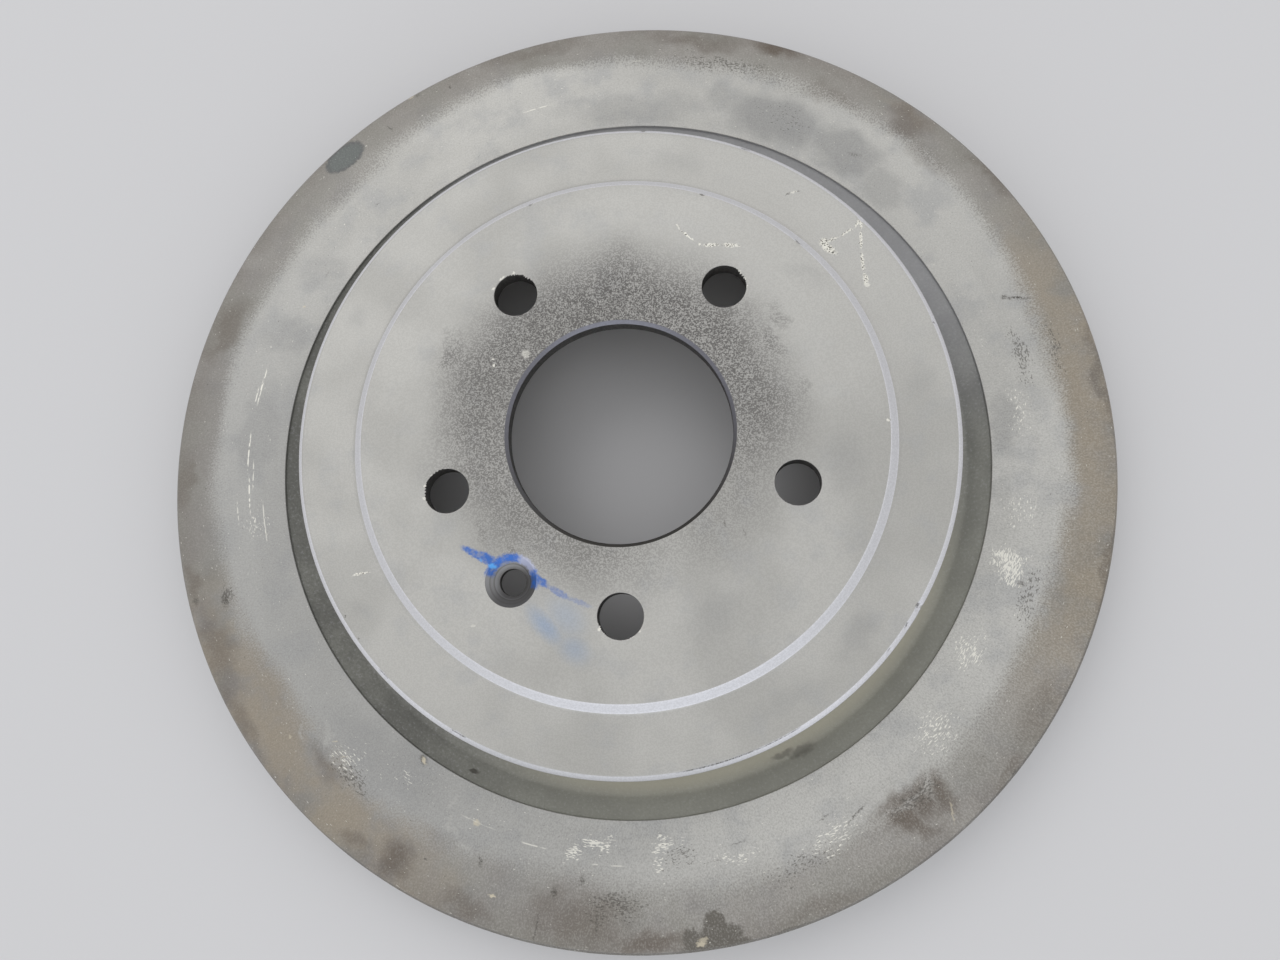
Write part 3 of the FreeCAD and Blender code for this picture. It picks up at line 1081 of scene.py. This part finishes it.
def polar(radius, angle):
    """A flat place (x, y) from its radius and its angle in degrees."""
    way = math.radians(angle)
    return radius * math.cos(way), radius * math.sin(way)


class Signal:
    """An output of a node. Those that are numbers take the plain operators, which add Math nodes."""

    def __init__(self, finish, socket):
        self.finish = finish
        self.socket = socket

    def maths(self, operation, *values):
        return self.finish.node("Math", {"operation": operation}, dict(enumerate(values)))

    def __add__(self, other):
        return self.maths("ADD", self, other)

    def __sub__(self, other):
        return self.maths("SUBTRACT", self, other)

    def __rsub__(self, other):
        return self.maths("SUBTRACT", other, self)

    def __mul__(self, other):
        return self.maths("MULTIPLY", self, other)

    def __truediv__(self, other):
        return self.maths("DIVIDE", self, other)

    __radd__ = __add__
    __rmul__ = __mul__


class Finish:
    """One material: its node tree, the places that its patterns share, and calls that add nodes.

    A finish may cover only one sector of the disc. Its marks are then only those that reach into
    the sector, while its noise is the same all round, so that sectors meet without a seam. One
    that isn't marked leaves out every mark of the tables. A fold is the height of a face whose
    patterns go on over its edge: further down, or up, counts as further out.
    """

    def __init__(self, name, sector=None, marked=True, fold=None):
        self.sector = sector
        self.marked = marked
        self.material = bpy.data.materials.new(name if sector is None else f"{name}_{sector}")
        self.material.use_nodes = True
        self.tree = self.material.node_tree
        self.shader = self.tree.nodes["Principled BSDF"]
        place = self.node("TexCoord", output="Object")
        self.place = self.vector("SCALE", place, scale=1 / MM)
        parts = self.node("SeparateXYZ", values={0: self.place}).socket.node.outputs
        self.height = Signal(self, parts[2])
        self.flat = self.node("CombineXYZ", values={0: Signal(self, parts[0]), 1: Signal(self, parts[1])})
        self.radius = self.length(self.flat)
        self.around = self.vector("NORMALIZE", self.flat)
        if fold is not None:
            off_face = self.height - fold
            self.radius = self.radius + off_face.maths("ABSOLUTE", off_face)
            self.flat = self.vector("SCALE", self.around, scale=self.radius)

    def node(self, kind, settings=None, values=None, output=0):
        """Adds a node with its settings, then feeds its sockets, and gives one of its outputs."""
        made = self.tree.nodes.new("ShaderNode" + kind)
        for name, value in (settings or {}).items():
            setattr(made, name, value)
        for name, value in (values or {}).items():
            if isinstance(value, Signal):
                self.tree.links.new(value.socket, made.inputs[name])
            else:
                made.inputs[name].default_value = value
        return Signal(self, made.outputs[output])

    def vector(self, operation, *values, scale=None, output=0):
        """A Vector Math node on the values given."""
        sockets = dict(enumerate(values))
        if scale is not None:
            sockets["Scale"] = scale
        return self.node("VectorMath", {"operation": operation}, sockets, output)

    def step(self, value, low, high, start=0.0, end=1.0):
        """A smooth step: start up to low, end from high on."""
        sockets = {"Value": value, "From Min": low, "From Max": high, "To Min": start, "To Max": end}
        return self.node("MapRange", {"interpolation_type": "SMOOTHSTEP"}, sockets)

    def blend(self, share, first, second):
        """The first colour where share is 0 and the second where it is 1."""
        if isinstance(share, float):
            return first
        return self.node("Mix", {"data_type": "RGBA"}, {0: share, 6: first, 7: second}, output=2)

    def layered(self, colour, *layers):
        """Colours laid over the first one in turn, each as (share, colour)."""
        for share, over in layers:
            colour = self.blend(share, colour, over)
        return colour

    def highest(self, masks):
        """The highest of several masks, or plain 0 where there is none."""
        masks = [mask for mask in masks if isinstance(mask, Signal)]
        if not masks:
            return 0.0
        most = masks[0]
        for mask in masks[1:]:
            most = most.maths("MAXIMUM", most, mask)
        return most

    def meets(self, middle, reach):
        """Whether a round patch, its middle (x, y) and radius given, may touch the sector."""
        radius = math.hypot(*middle)
        if not self.marked:
            return False
        if self.sector is None or reach >= radius:
            return True
        sector_middle = (self.sector + 0.5) * 360 / SECTORS
        apart = abs((math.degrees(math.atan2(middle[1], middle[0])) - sector_middle + 180) % 360 - 180)
        return apart < 180 / SECTORS + math.degrees(math.asin(reach / radius))

    def noise(self, where, size, detail=2.0, rough=0.5, colour=False):
        """Noise whose lumps are about size across, around 0.5."""
        sockets = {"Vector": where, "Scale": 1 / size, "Detail": detail, "Roughness": rough}
        return self.node("TexNoise", {"normalize": True}, sockets, "Color" if colour else 0)

    def grain(self, size):
        """Fine sandy noise."""
        return self.noise(self.place, size, 1.0, 0.6)

    def cosine(self, way, degrees):
        """The cosine of the angle between a flat direction and the one given in degrees."""
        return self.vector("DOT_PRODUCT", way, (*polar(1.0, degrees), 0.0), output="Value")

    def toward(self, degrees):
        """How far a point of the disc lies towards a direction seen from the axis, as a cosine."""
        return self.cosine(self.around, degrees)

    def length(self, where):
        return self.vector("LENGTH", where, output="Value")

    def rings(self, around_size, out_size, detail=1.0, rough=0.5):
        """Noise in polar terms: lumps that are around_size long about the axis at radius 100 and
        out_size wide along the radius."""
        turning = self.vector("SCALE", self.around, scale=100 / around_size)
        outward = self.node("CombineXYZ", values={2: self.radius / out_size})
        where = self.vector("ADD", turning, outward)
        return self.noise(where, 1.0, detail, rough)

    def shifted(self, size, reach, detail=2.0):
        """The flat place, pushed about by noise so that marks drawn on it have ragged edges."""
        push = self.vector("SUBTRACT", self.noise(self.place, size, detail, colour=True), (0.5, 0.5, 0.5))
        moved = self.vector("ADD", self.flat, self.vector("SCALE", push, scale=2 * reach))
        return self.vector("MULTIPLY", moved, (1.0, 1.0, 0.0))

    def oval(self, where, middle, length, width, turn, strength, soft):
        """A soft oval mask: it rises to its strength from the edge inwards, over the share called soft.

        The place is moved, turned and scaled so that the oval becomes a unit circle.
        """
        if not self.meets(middle, max(length, width) / 2 + MARK_SLACK):
            return 0.0
        sockets = {
            "Vector": where,
            "Location": (*middle, 0.0),
            "Rotation": (0.0, 0.0, turn),
            "Scale": (length / 2, width / 2, 1.0),
        }
        local = self.node("Mapping", {"vector_type": "TEXTURE"}, sockets)
        return self.step(self.length(local), 1.0 - soft, 1.0, strength, 0.0)

    def spots(self, where, rows, soft=0.7):
        """Ovals of a table: angle, radius, length about the axis, width, lean, strength."""
        masks = []
        for angle, radius, length, width, lean, strength in rows:
            turn = math.radians(angle + 90 + lean)
            masks.append(self.oval(where, polar(radius, angle), length, width, turn, strength, soft))
        return self.highest(masks)

    def strokes(self, where, rows, soft=0.5):
        """Straight lines of a table: radius and angle of both ends, width, strength."""
        masks = []
        for start_r, start_angle, end_r, end_angle, width, strength in rows:
            start, end = polar(start_r, start_angle), polar(end_r, end_angle)
            middle = ((start[0] + end[0]) / 2, (start[1] + end[1]) / 2)
            run = (end[0] - start[0], end[1] - start[1])
            turn = math.atan2(run[1], run[0])
            masks.append(self.oval(where, middle, math.hypot(*run), width, turn, strength, soft))
        return self.highest(masks)

    def arcs(self, rows):
        """Lines about the axis of a table: radius, middle angle, half length in degrees, width, strength."""
        masks = []
        for radius, angle, half, width, strength in rows:
            if not self.meets(polar(radius, angle), radius * math.radians(half) + MARK_SLACK):
                continue
            off = self.radius.maths("ABSOLUTE", self.radius - radius)
            ring = self.step(off, 0.2 * width, 0.6 * width, strength, 0.0)
            low, high = math.cos(math.radians(half)), math.cos(math.radians(0.5 * half))
            masks.append(ring * self.step(self.toward(angle), low, high))
        return self.highest(masks)

    def finished(self, colour, roughness, height, metallic):
        """Joins the parts to the shader: height is in millimetres."""
        bump = self.node("Bump", values={"Height": height, "Strength": 1.0, "Distance": MM})
        links = {"Base Color": colour, "Roughness": roughness, "Normal": bump, "Metallic": metallic}
        for name, value in links.items():
            if isinstance(value, Signal):
                self.tree.links.new(value.socket, self.shader.inputs[name])
            else:
                self.shader.inputs[name].default_value = value
        return self.material


def flecked(f, around_size, out_size, fields, ragged):
    """Short streaks along the turning, rare outside the fields of a table and thick inside them."""
    streaks = f.rings(around_size, out_size, 1.0, 0.5)
    return f.step(streaks + 0.3 * f.spots(ragged, fields, 0.9), FLECK_BASE, FLECK_BASE + 0.05)


def track_finish(sector, marked=True):
    """The turned friction faces and rim: pale iron inside, stained towards the rim.

    The stain deepens smoothly, and where it begins it breaks up into fine dark and light grains.
    """
    f = Finish("track_iron" if marked else "inboard_iron", sector, marked, RING_T if marked else 0.0)
    grain = f.grain(0.55)
    blotches = f.noise(f.place, 22, 2.0, 0.5)
    clouds = f.rings(42, 20, 2.0)
    lines = f.rings(300, 0.35)
    mottle = f.noise(f.place, 13, 3.0, 0.6)
    ragged = f.shifted(9.0, 6.0, 3.0)
    fine_ragged = f.shifted(1.0, 0.9, 1.0)
    dust = f.step(grain, 0.42, 0.58)

    border = 144.5 + 2.5 * f.toward(100) + 14 * (clouds - 0.5) - 3.5 * f.step(f.toward(243), 0.7, 0.95)
    stain = f.step(f.radius + 6 * (grain - 0.5) - border, -4.0, 5.0)
    deep = f.step(f.radius + 60 * (blotches - 0.5), 142.0, 168.0)
    tone = f.blend(f.step(blotches, 0.42, 0.58), STAIN_BROWN, STAIN_GREY)

    warm = f.highest([
        0.7 * f.step(f.toward(358), 0.78, 0.96),
        0.7 * f.step(f.toward(222), 0.86, 0.98),
    ])
    edge = f.step(f.radius, 158.9, 159.6) * f.step(f.radius, 160.6, 161.6, 1, 0)
    hairs = f.rings(0.32, 0.65)
    verge = (0.35 + 0.35 * f.toward(75)) * 4 * stain * (1 - stain)
    sandy = 0.1 * f.step(f.toward(310), 0.1, 0.9)
    specks = flecked(f, 0.7, 0.45, SPECK_FIELDS, ragged)
    flecks = flecked(f, 1.0, 0.35, FLECK_FIELDS, ragged)
    dark = f.highest([f.spots(fine_ragged, TRACK_DARK, 0.8), f.strokes(fine_ragged, TRACK_SCRATCH, 0.7)])
    broken = f.step(f.rings(1.6, 0.6), 0.42, 0.52)

    colour = f.layered(
        f.blend(f.step(clouds, 0.4, 0.62), PALE_IRON, BRIGHT_IRON),
        (0.5 * f.step(mottle, 0.45, 0.7), COOL_IRON),
        (0.4 * f.step(mottle, 0.5, 0.3), BRIGHT_IRON),
        # painted shade: the side round 212° darker, where the turned face reflects less light
        (0.55 * f.step(f.toward(212), 0.1, 0.95), DULL_AND_SHADE_IRON),
        (f.spots(ragged, DULL_AND_SHADE_PATCHES, 0.6), DULL_AND_SHADE_IRON),
        (stain * (0.42 + 0.4 * deep), tone),
        (stain * warm * f.step(mottle, 0.7, 0.4), TAN),
        (f.spots(ragged, TAN_STAINS, 1.0), TAN),
        (f.spots(ragged, BROWN_STAINS, 0.85), STAIN_BROWN),
        (f.strokes(ragged, BROWN_WEDGE, 0.8), STAIN_BROWN),
        (0.5 * edge * f.step(f.toward(290), 0.3, 0.8), DARK_MARK),
        (f.strokes(ragged, PALE_STROKES, 0.8), PALE_IRON),
        (f.spots(fine_ragged, RIM_BLOTCHES, 0.25), BLOTCH_GREY),
        (f.spots(fine_ragged, BLUE_EDGE, 0.2), BLUE_DARK),
        (f.spots(fine_ragged, BLUE_BLOTCH, 0.3), BLUE_GREY),
        ((sandy + 0.06 + 0.34 * verge) * f.step(hairs, 0.5, 0.62), DARK_MARK),
        ((sandy + 0.08 + 0.4 * verge) * f.step(hairs, 0.48, 0.36), BRIGHT_IRON),
        (0.1 * dust, DARK_MARK),
        (0.6 * specks, DARK_MARK),
        (0.85 * flecks, WHITE_MARK),
        (dark * (0.45 + 0.55 * dust), DARK_MARK),
        (f.spots(fine_ragged, TRACK_WHITE, 0.6), BEIGE_MARK),
        (broken * f.arcs(TRACK_LINES), WHITE_MARK),
        (0.08 * lines, DARK_MARK),
    )

    roughness = 0.44 + 0.16 * stain + 0.1 * (grain - 0.5)
    height = 0.008 * lines + 0.016 * grain
    return f.finished(colour, roughness, height, 0.35)


def hat_halo(f, grain):
    """How dark the speckled halo round the bore is: widest on the far side, faint on the near side."""
    drift = f.rings(30, 40)
    reach = 56.5 + 4.5 * f.toward(100) + 3.5 * f.step(f.toward(172), 0.7, 0.95) + 12 * (drift - 0.5)
    depth = 0.84 + 0.16 * f.toward(85) - 0.36 * f.step(f.toward(310), 0.6, 1.0)
    return depth * f.step(f.radius + 10 * (grain - 0.5) - reach, -14.0, 10.0, 1.0, 0.0)


def from_screw(f, where):
    """The distance and the direction of a place from the middle of the screw's hole."""
    off_screw = f.vector("SUBTRACT", where, (*polar(BOLT_CIRCLE_R, SCREW_ANGLE), 0.0))
    return f.length(off_screw), f.vector("NORMALIZE", off_screw)


def inked(f, colour, ragged, ring_in):
    """Blue marker across the retaining screw's hole: a stroke to it, its far rim and a fading tail."""
    if not f.meets(polar(BOLT_CIRCLE_R, SCREW_ANGLE), INK_REACH):
        return colour
    distance, facing = from_screw(f, ragged)
    ring = f.step(distance, ring_in, ring_in + 0.8)
    ring = ring * f.step(distance, INK_RING_OUT - 0.5, INK_RING_OUT + 0.6, 1, 0)

    def part(degrees, half):
        """The part of the ring within half degrees of a direction seen from the screw."""
        low, high = (math.cos(math.radians(half + soft)) for soft in (8, -8))
        return ring * f.step(f.cosine(facing, degrees), low, high)

    patchy = f.step(f.noise(f.place, 1.6, 2.0, 0.6), 0.3, 0.62)
    colour = f.blend(f.strokes(ragged, INK_HAZE, 0.95), colour, BLUE_PALE)
    colour = f.blend(0.75 * part(50, 32), colour, INK_LILAC)
    ink = f.highest([f.strokes(ragged, INK_STROKES, 0.5), 0.95 * part(117, 46), 0.9 * part(6, 19)])
    colour = f.blend(ink * (0.55 + 0.45 * patchy), colour, BLUE_INK)
    return f.blend(f.spots(ragged, INK_SHINE, 0.7), colour, BLUE_CYAN)


def hat_finish(sector):
    """The hat's turned top: pale iron with a dark speckled halo round the bore."""
    f = Finish("hat_iron", sector)
    grain = f.grain(0.45)
    clouds = f.noise(f.place, 34, 2.0)
    lines = f.rings(260, 0.35)
    ragged = f.shifted(6.0, 4.0)
    fine_ragged = f.shifted(0.9, 0.6, 1.0)
    dust = f.step(grain, 0.42, 0.58)
    mottle = f.noise(f.place, 11, 3.0, 0.6)
    halo = f.highest([hat_halo(f, grain), f.spots(ragged, HALO_PATCHES, 0.9)])
    dark = f.highest([f.spots(fine_ragged, HAT_DARK, 0.7), f.arcs(HAT_DARK_LINES)])
    white = f.highest([f.strokes(fine_ragged, HAT_SCRATCHES, 0.5), f.spots(fine_ragged, HAT_SCRIBBLE, 0.5)])
    pitted = f.blend(f.step(grain, 0.54, 0.62), WHITE_MARK, DARK_MARK)

    colour = f.layered(
        f.blend(f.step(clouds, 0.38, 0.62), HAT_IRON, PALE_IRON),
        (0.35 * f.step(mottle, 0.5, 0.72), COOL_IRON),
        (0.7 * f.step(f.toward(48), 0.6, 1.0), BRIGHT_IRON),
        (0.5 * f.spots(ragged, HAT_DULL, 0.9), DULL_AND_SHADE_IRON),
        (halo * (0.44 + 0.56 * dust), HALO_DARK),
        (0.5 * halo * f.step(grain, 0.36, 0.28), BRIGHT_IRON),
    )
    colour = f.layered(
        inked(f, colour, fine_ragged, INK_RING_IN),
        (dark * (0.5 + 0.5 * dust), DARK_MARK),
        (white, pitted),
        (f.spots(fine_ragged, HAT_LIGHT, 0.5), WHITE_MARK),
        (0.1 * dust, DARK_MARK),
        (0.06 * lines, DARK_MARK),
    )

    roughness = 0.42 + 0.16 * halo
    height = 0.008 * lines + 0.012 * grain * f.step(f.radius, 46, 62, 1.6, 0.6)
    return f.finished(colour, roughness, height, 0.35)


def hole_finish():
    """The walls of the bore and the drilled holes: iron painted near black as painted shade, since the light
    hardly reaches them.
    """
    f = Finish("hole_iron")
    grain = f.grain(0.8)
    # painted shade: a grain between two near-black tones
    colour = f.blend(f.step(grain, 0.4, 0.6), HOLE_SHADE_DARK, HOLE_SHADE_PALE)
    return f.finished(colour, 0.55, 0.02 * grain, 0.2)


def drum_finish():
    """The parking brake's drum and the hub seat: turned iron, duller than the outer faces, painted dark and
    brown as painted shade inside the hat.
    """
    f = Finish("drum_iron")
    grain = f.grain(0.6)
    patchy = f.noise(f.place, 18, 2.0, 0.5)
    lines = f.noise(f.node("CombineXYZ", values={0: f.radius / 0.3, 1: f.height / 0.3}), 1.0, 1.0)
    # painted shade inside the hat, patchy between two dark brown tones
    colour = f.blend(f.step(patchy, 0.38, 0.62), DRUM_SHADED_IRON, DRUM_SHADED_DARK)
    colour = f.blend(0.25 * f.step(lines, 0.45, 0.6), colour, DARK_MARK)
    return f.finished(colour, 0.48, 0.01 * lines + 0.01 * grain, 0.35)


def bore_finish():
    """The bore's chamfer: dull cut iron, with painted light on the far side, where it faces the light, and
    painted shade on the near side, where it faces away.
    """
    f = Finish("bore_iron")
    grain = f.grain(0.6)
    # painted light on the far side and painted shade on the near side, by which way the chamfer faces
    colour = f.blend(f.step(f.toward(278), -0.45, 0.95), BORE_LIT_IRON, BORE_SHADE)
    colour = f.blend(0.15 * f.step(grain, 0.4, 0.6), colour, DARK_MARK)
    return f.finished(colour, 0.4, 0.01 * grain, 0.5)


def cut_finish():
    """The slope up to the wheel seat and the hat's chamfer: cleaner and glossier cuts."""
    f = Finish("cut_iron")
    grain = f.grain(0.6)
    lines = f.rings(260, 0.3)
    ragged = f.shifted(0.9, 0.6, 1.0)
    dust = f.step(grain, 0.42, 0.58)
    dark = f.highest([f.spots(ragged, HAT_DARK, 0.7), f.arcs(HAT_DARK_LINES)])
    scuffed = f.step(f.radius, 95, 96) * f.step(f.toward(268), 0.82, 0.98)
    colour = f.layered(
        f.blend(0.45 * scuffed, CUT_IRON, DULL_AND_SHADE_IRON),
        (0.1 * dust, DARK_MARK),
        (dark * (0.5 + 0.5 * dust), DARK_MARK),
        (f.spots(ragged, HAT_LIGHT, 0.5), WHITE_MARK),
    )
    return f.finished(colour, 0.5, 0.01 * lines + 0.01 * grain, 0.3)


def seat_finish():
    """The screw's countersink: dull cut iron with rings about its own axis and ink on its far side, painted
    light where its wall faces the near side and painted shade across from it.
    """
    f = Finish("seat_iron")
    ragged = f.shifted(0.9, 0.6, 1.0)
    distance, away = from_screw(f, f.flat)
    rings = f.noise(f.node("CombineXYZ", values={0: distance / 0.5}), 1.0, 1.0, 0.7)
    colour = f.layered(
        # painted light and painted shade by which way the countersink's wall faces
        f.blend(f.step(f.cosine(away, 125), -0.5, 0.7), SEAT_SHADED, SEAT_PALE_AND_LIT),
        (0.5 * f.step(rings, 0.45, 0.62), DARK_MARK),
        (0.6 * f.step(rings, 0.4, 0.3), SEAT_PALE_AND_LIT),
    )
    colour = inked(f, colour, ragged, INK_SEAT_IN)
    return f.finished(colour, 0.45, 0.06 * rings, 0.35)


def cast_finish():
    """The as-cast skin: dull grey with a sandy grain, with painted light in the recess, lighter on the near
    side and warmer next to the hat there, paler on the far side's wall, and painted shade on the faces under
    the hat.
    """
    f = Finish("cast_skin")
    patchy = f.noise(f.place, 16, 2.0)
    sand = f.noise(f.place, 0.9, 1.0, 0.7)
    ragged = f.shifted(2.0, 1.2, 1.0)
    # masks for painted light low in the recess, and for painted shade on the faces under the hat, inside the
    # drum's radius
    low = f.step(f.height, 21.0, 27.0, 1, 0)
    warm = f.step(f.radius, 109.5, 115.5, 1, 0) * f.step(f.toward(298), 0.5, 0.95)
    inside = f.step(f.radius, 99.0, 102.0, 1, 0)
    colour = f.layered(
        f.blend(f.step(patchy, 0.35, 0.65), CAST_SKIN, CAST_DARK),
        (0.25 * f.step(sand, 0.45, 0.65), CAST_PIT),
        (0.2 * f.step(sand, 0.4, 0.3), CAST_PALE_AND_LIT),
        # painted light: lighter on the near side, warmer next to the hat there, paler on the far side's wall
        (0.5 * low * f.step(f.toward(300), 0.3, 0.9), CAST_LIT),
        (0.7 * low * warm, CAST_WARM_LIT),
        (0.55 * low * f.step(f.toward(68), 0.3, 0.85), CAST_PALE_AND_LIT),
        # painted shade under the hat
        (0.85 * inside, CAST_UNDER_SHADE),
        (f.spots(ragged, CAST_MARKS, 0.6), DARK_MARK),
    )
    return f.finished(colour, 0.62, 0.07 * sand, 0.1)


def dress(casting):
    """Gives each face its finish by where its middle lies on the section."""
    mesh = casting.data
    plain = (
        cast_finish(),
        cut_finish(),
        seat_finish(),
        bore_finish(),
        hole_finish(),
        drum_finish(),
        track_finish(None, marked=False),
    )
    cast, cut, seat, bore, hole, drum, inboard = range(len(plain))
    first_track, first_hat = len(plain), len(plain) + SECTORS
    tracks = [track_finish(sector) for sector in range(SECTORS)]
    hats = [hat_finish(sector) for sector in range(SECTORS)]
    for material in (*plain, *tracks, *hats):
        mesh.materials.append(material)
    middles = np.empty(len(mesh.polygons) * 3)
    mesh.polygons.foreach_get("center", middles)
    x, y, z = middles.reshape(-1, 3).T / MM
    radius = np.hypot(x, y)
    sector = (np.degrees(np.arctan2(y, x)) % 360 // (360 / SECTORS)).astype(int)

    def near(angle, reach):
        """Faces within reach of the axis of a hole on the bolt circle."""
        middle = polar(BOLT_CIRCLE_R, angle)
        return np.hypot(x - middle[0], y - middle[1]) < reach

    slack, wide_slack = 0.02, 0.1
    chamfer_low_z = SHOULDER_Z - HAT_CHAMFER
    within_plate = (z > HUB_SEAT_Z + slack) & (z < platform_z - slack)
    under_sink = z < platform_z - SCREW_SINK_DEPTH
    bolt_wall = np.any([near(angle, BOLT_HOLE_R + slack) for angle in BOLT_ANGLES], axis=0)
    screw_wall = near(SCREW_ANGLE, SCREW_HOLE_R + slack) & under_sink
    bore_wall = radius < BORE_R + slack
    hub_seat = (z > HUB_SEAT_Z - wide_slack) & (z < HUB_SEAT_Z + SEAT_STEP + wide_slack)
    hub_seat &= radius < HUB_SEAT_R + 2 * wide_slack
    on_ring = radius > TRACK_R
    inboard_side = z < TRACK_EDGE_CHAMFER / 2
    rim = radius > rim_r - RIM_CHAMFER - 2 * wide_slack
    outboard_side = z > RING_T - TRACK_EDGE_CHAMFER / 2
    drum_wall = (radius > DRUM_R - 2 * wide_slack) & (radius < DRUM_RELIEF_R + 2 * wide_slack)
    choices = (
        (within_plate & (bolt_wall | screw_wall), hole),
        (within_plate & near(SCREW_ANGLE, SCREW_SINK_R), seat),
        (within_plate & bore_wall, hole),
        (within_plate & (radius < BORE_R + BORE_CHAMFER), bore),
        ((radius > LIP_R - wide_slack) & (radius < FOOT_R) & (z > SHOULDER_Z + wide_slack), cut),
        ((radius > HAT_R - HAT_CHAMFER - wide_slack) & (z > chamfer_low_z) & (z < SHOULDER_Z - slack), cut),
        (on_ring & inboard_side, inboard),
        (on_ring & (outboard_side | rim), first_track + sector),
        (hub_seat, drum),
        (z > chamfer_low_z - wide_slack, first_hat + sector),
        (drum_wall & (z < DRUM_TOP_Z + wide_slack), drum),
    )
    finish = np.select([faces for faces, _ in choices], [index for _, index in choices], cast)
    mesh.polygons.foreach_set("material_index", finish.astype(np.int32))


def make_floor():
    """A wide pale floor under the disc."""
    reach, drop = 6.0, -0.0001
    mesh = bpy.data.meshes.new("floor")
    corners = [(-reach, -reach, drop), (reach, -reach, drop), (reach, reach, drop), (-reach, reach, drop)]
    mesh.from_pydata(corners, [], [(0, 1, 2, 3)])
    floor = bpy.data.objects.new("floor", mesh)
    bpy.context.scene.collection.objects.link(floor)
    f = Finish("pale_floor")
    f.shader.inputs["Base Color"].default_value = FLOOR_TONE
    f.shader.inputs["Roughness"].default_value = 0.7
    f.shader.inputs["Specular IOR Level"].default_value = 0.2
    mesh.materials.append(f.material)


def area_light(name, place, size, power, colour):
    """A soft rectangle of light at a place (metres), turned towards the origin."""
    lamp = bpy.data.lights.new(name, "AREA")
    lamp.shape = "RECTANGLE"
    lamp.size, lamp.size_y = size
    lamp.energy = power
    lamp.color = colour
    light = bpy.data.objects.new(name, lamp)
    away = np.array(place) / np.linalg.norm(place)
    side = np.cross((0, 0, 1), away)
    side /= np.linalg.norm(side)
    upward = np.cross(away, side)
    turned = Matrix((side, upward, away)).transposed().to_4x4()
    light.matrix_world = Matrix.Translation(place) @ turned
    light.visible_camera = False
    bpy.context.scene.collection.objects.link(light)


def make_sky():
    """The sky: its strength grows with height, and what is seen or mirrored of it is one plain tone."""
    world = bpy.data.worlds.new("studio")
    bpy.context.scene.world = world
    world.use_nodes = True
    nodes, links = world.node_tree.nodes, world.node_tree.links

    def add(kind, *values, **settings):
        """A node with settings, whose first sockets take the values or outputs given."""
        made = nodes.new("ShaderNode" + kind)
        for name, value in settings.items():
            setattr(made, name, value)
        for socket, value in zip(made.inputs, values):
            if isinstance(value, bpy.types.NodeSocket):
                links.new(value, socket)
            else:
                socket.default_value = value
        return made

    way = add("TexCoord").outputs["Generated"]
    height = add("SeparateXYZ", way).outputs[2]
    even = add("MapRange", height, 0.0, 1.0, SKY_LOW, SKY_OVERHEAD).outputs[0]
    ray = add("LightPath").outputs
    mirrored = add("Math", ray["Is Glossy Ray"], ray["Is Transmission Ray"], operation="MAXIMUM").outputs[0]
    seen = add("Math", ray["Is Camera Ray"], mirrored, operation="MAXIMUM").outputs[0]
    strength = add("MapRange", seen, 0.0, 1.0, even, BACKDROP).outputs[0]
    nodes["Background"].inputs["Color"].default_value = SKY_TINT
    links.new(strength, nodes["Background"].inputs["Strength"])


def make_light():
    """The studio's sky and its lamps."""
    make_sky()
    area_light("key_lamp", **KEY_LAMP)
    area_light("near_lamp", **NEAR_LAMP)


casting = make_casting()
dress(casting)
make_camera()
make_floor()
make_light()
bpy.context.scene.view_settings.view_transform = "Standard"
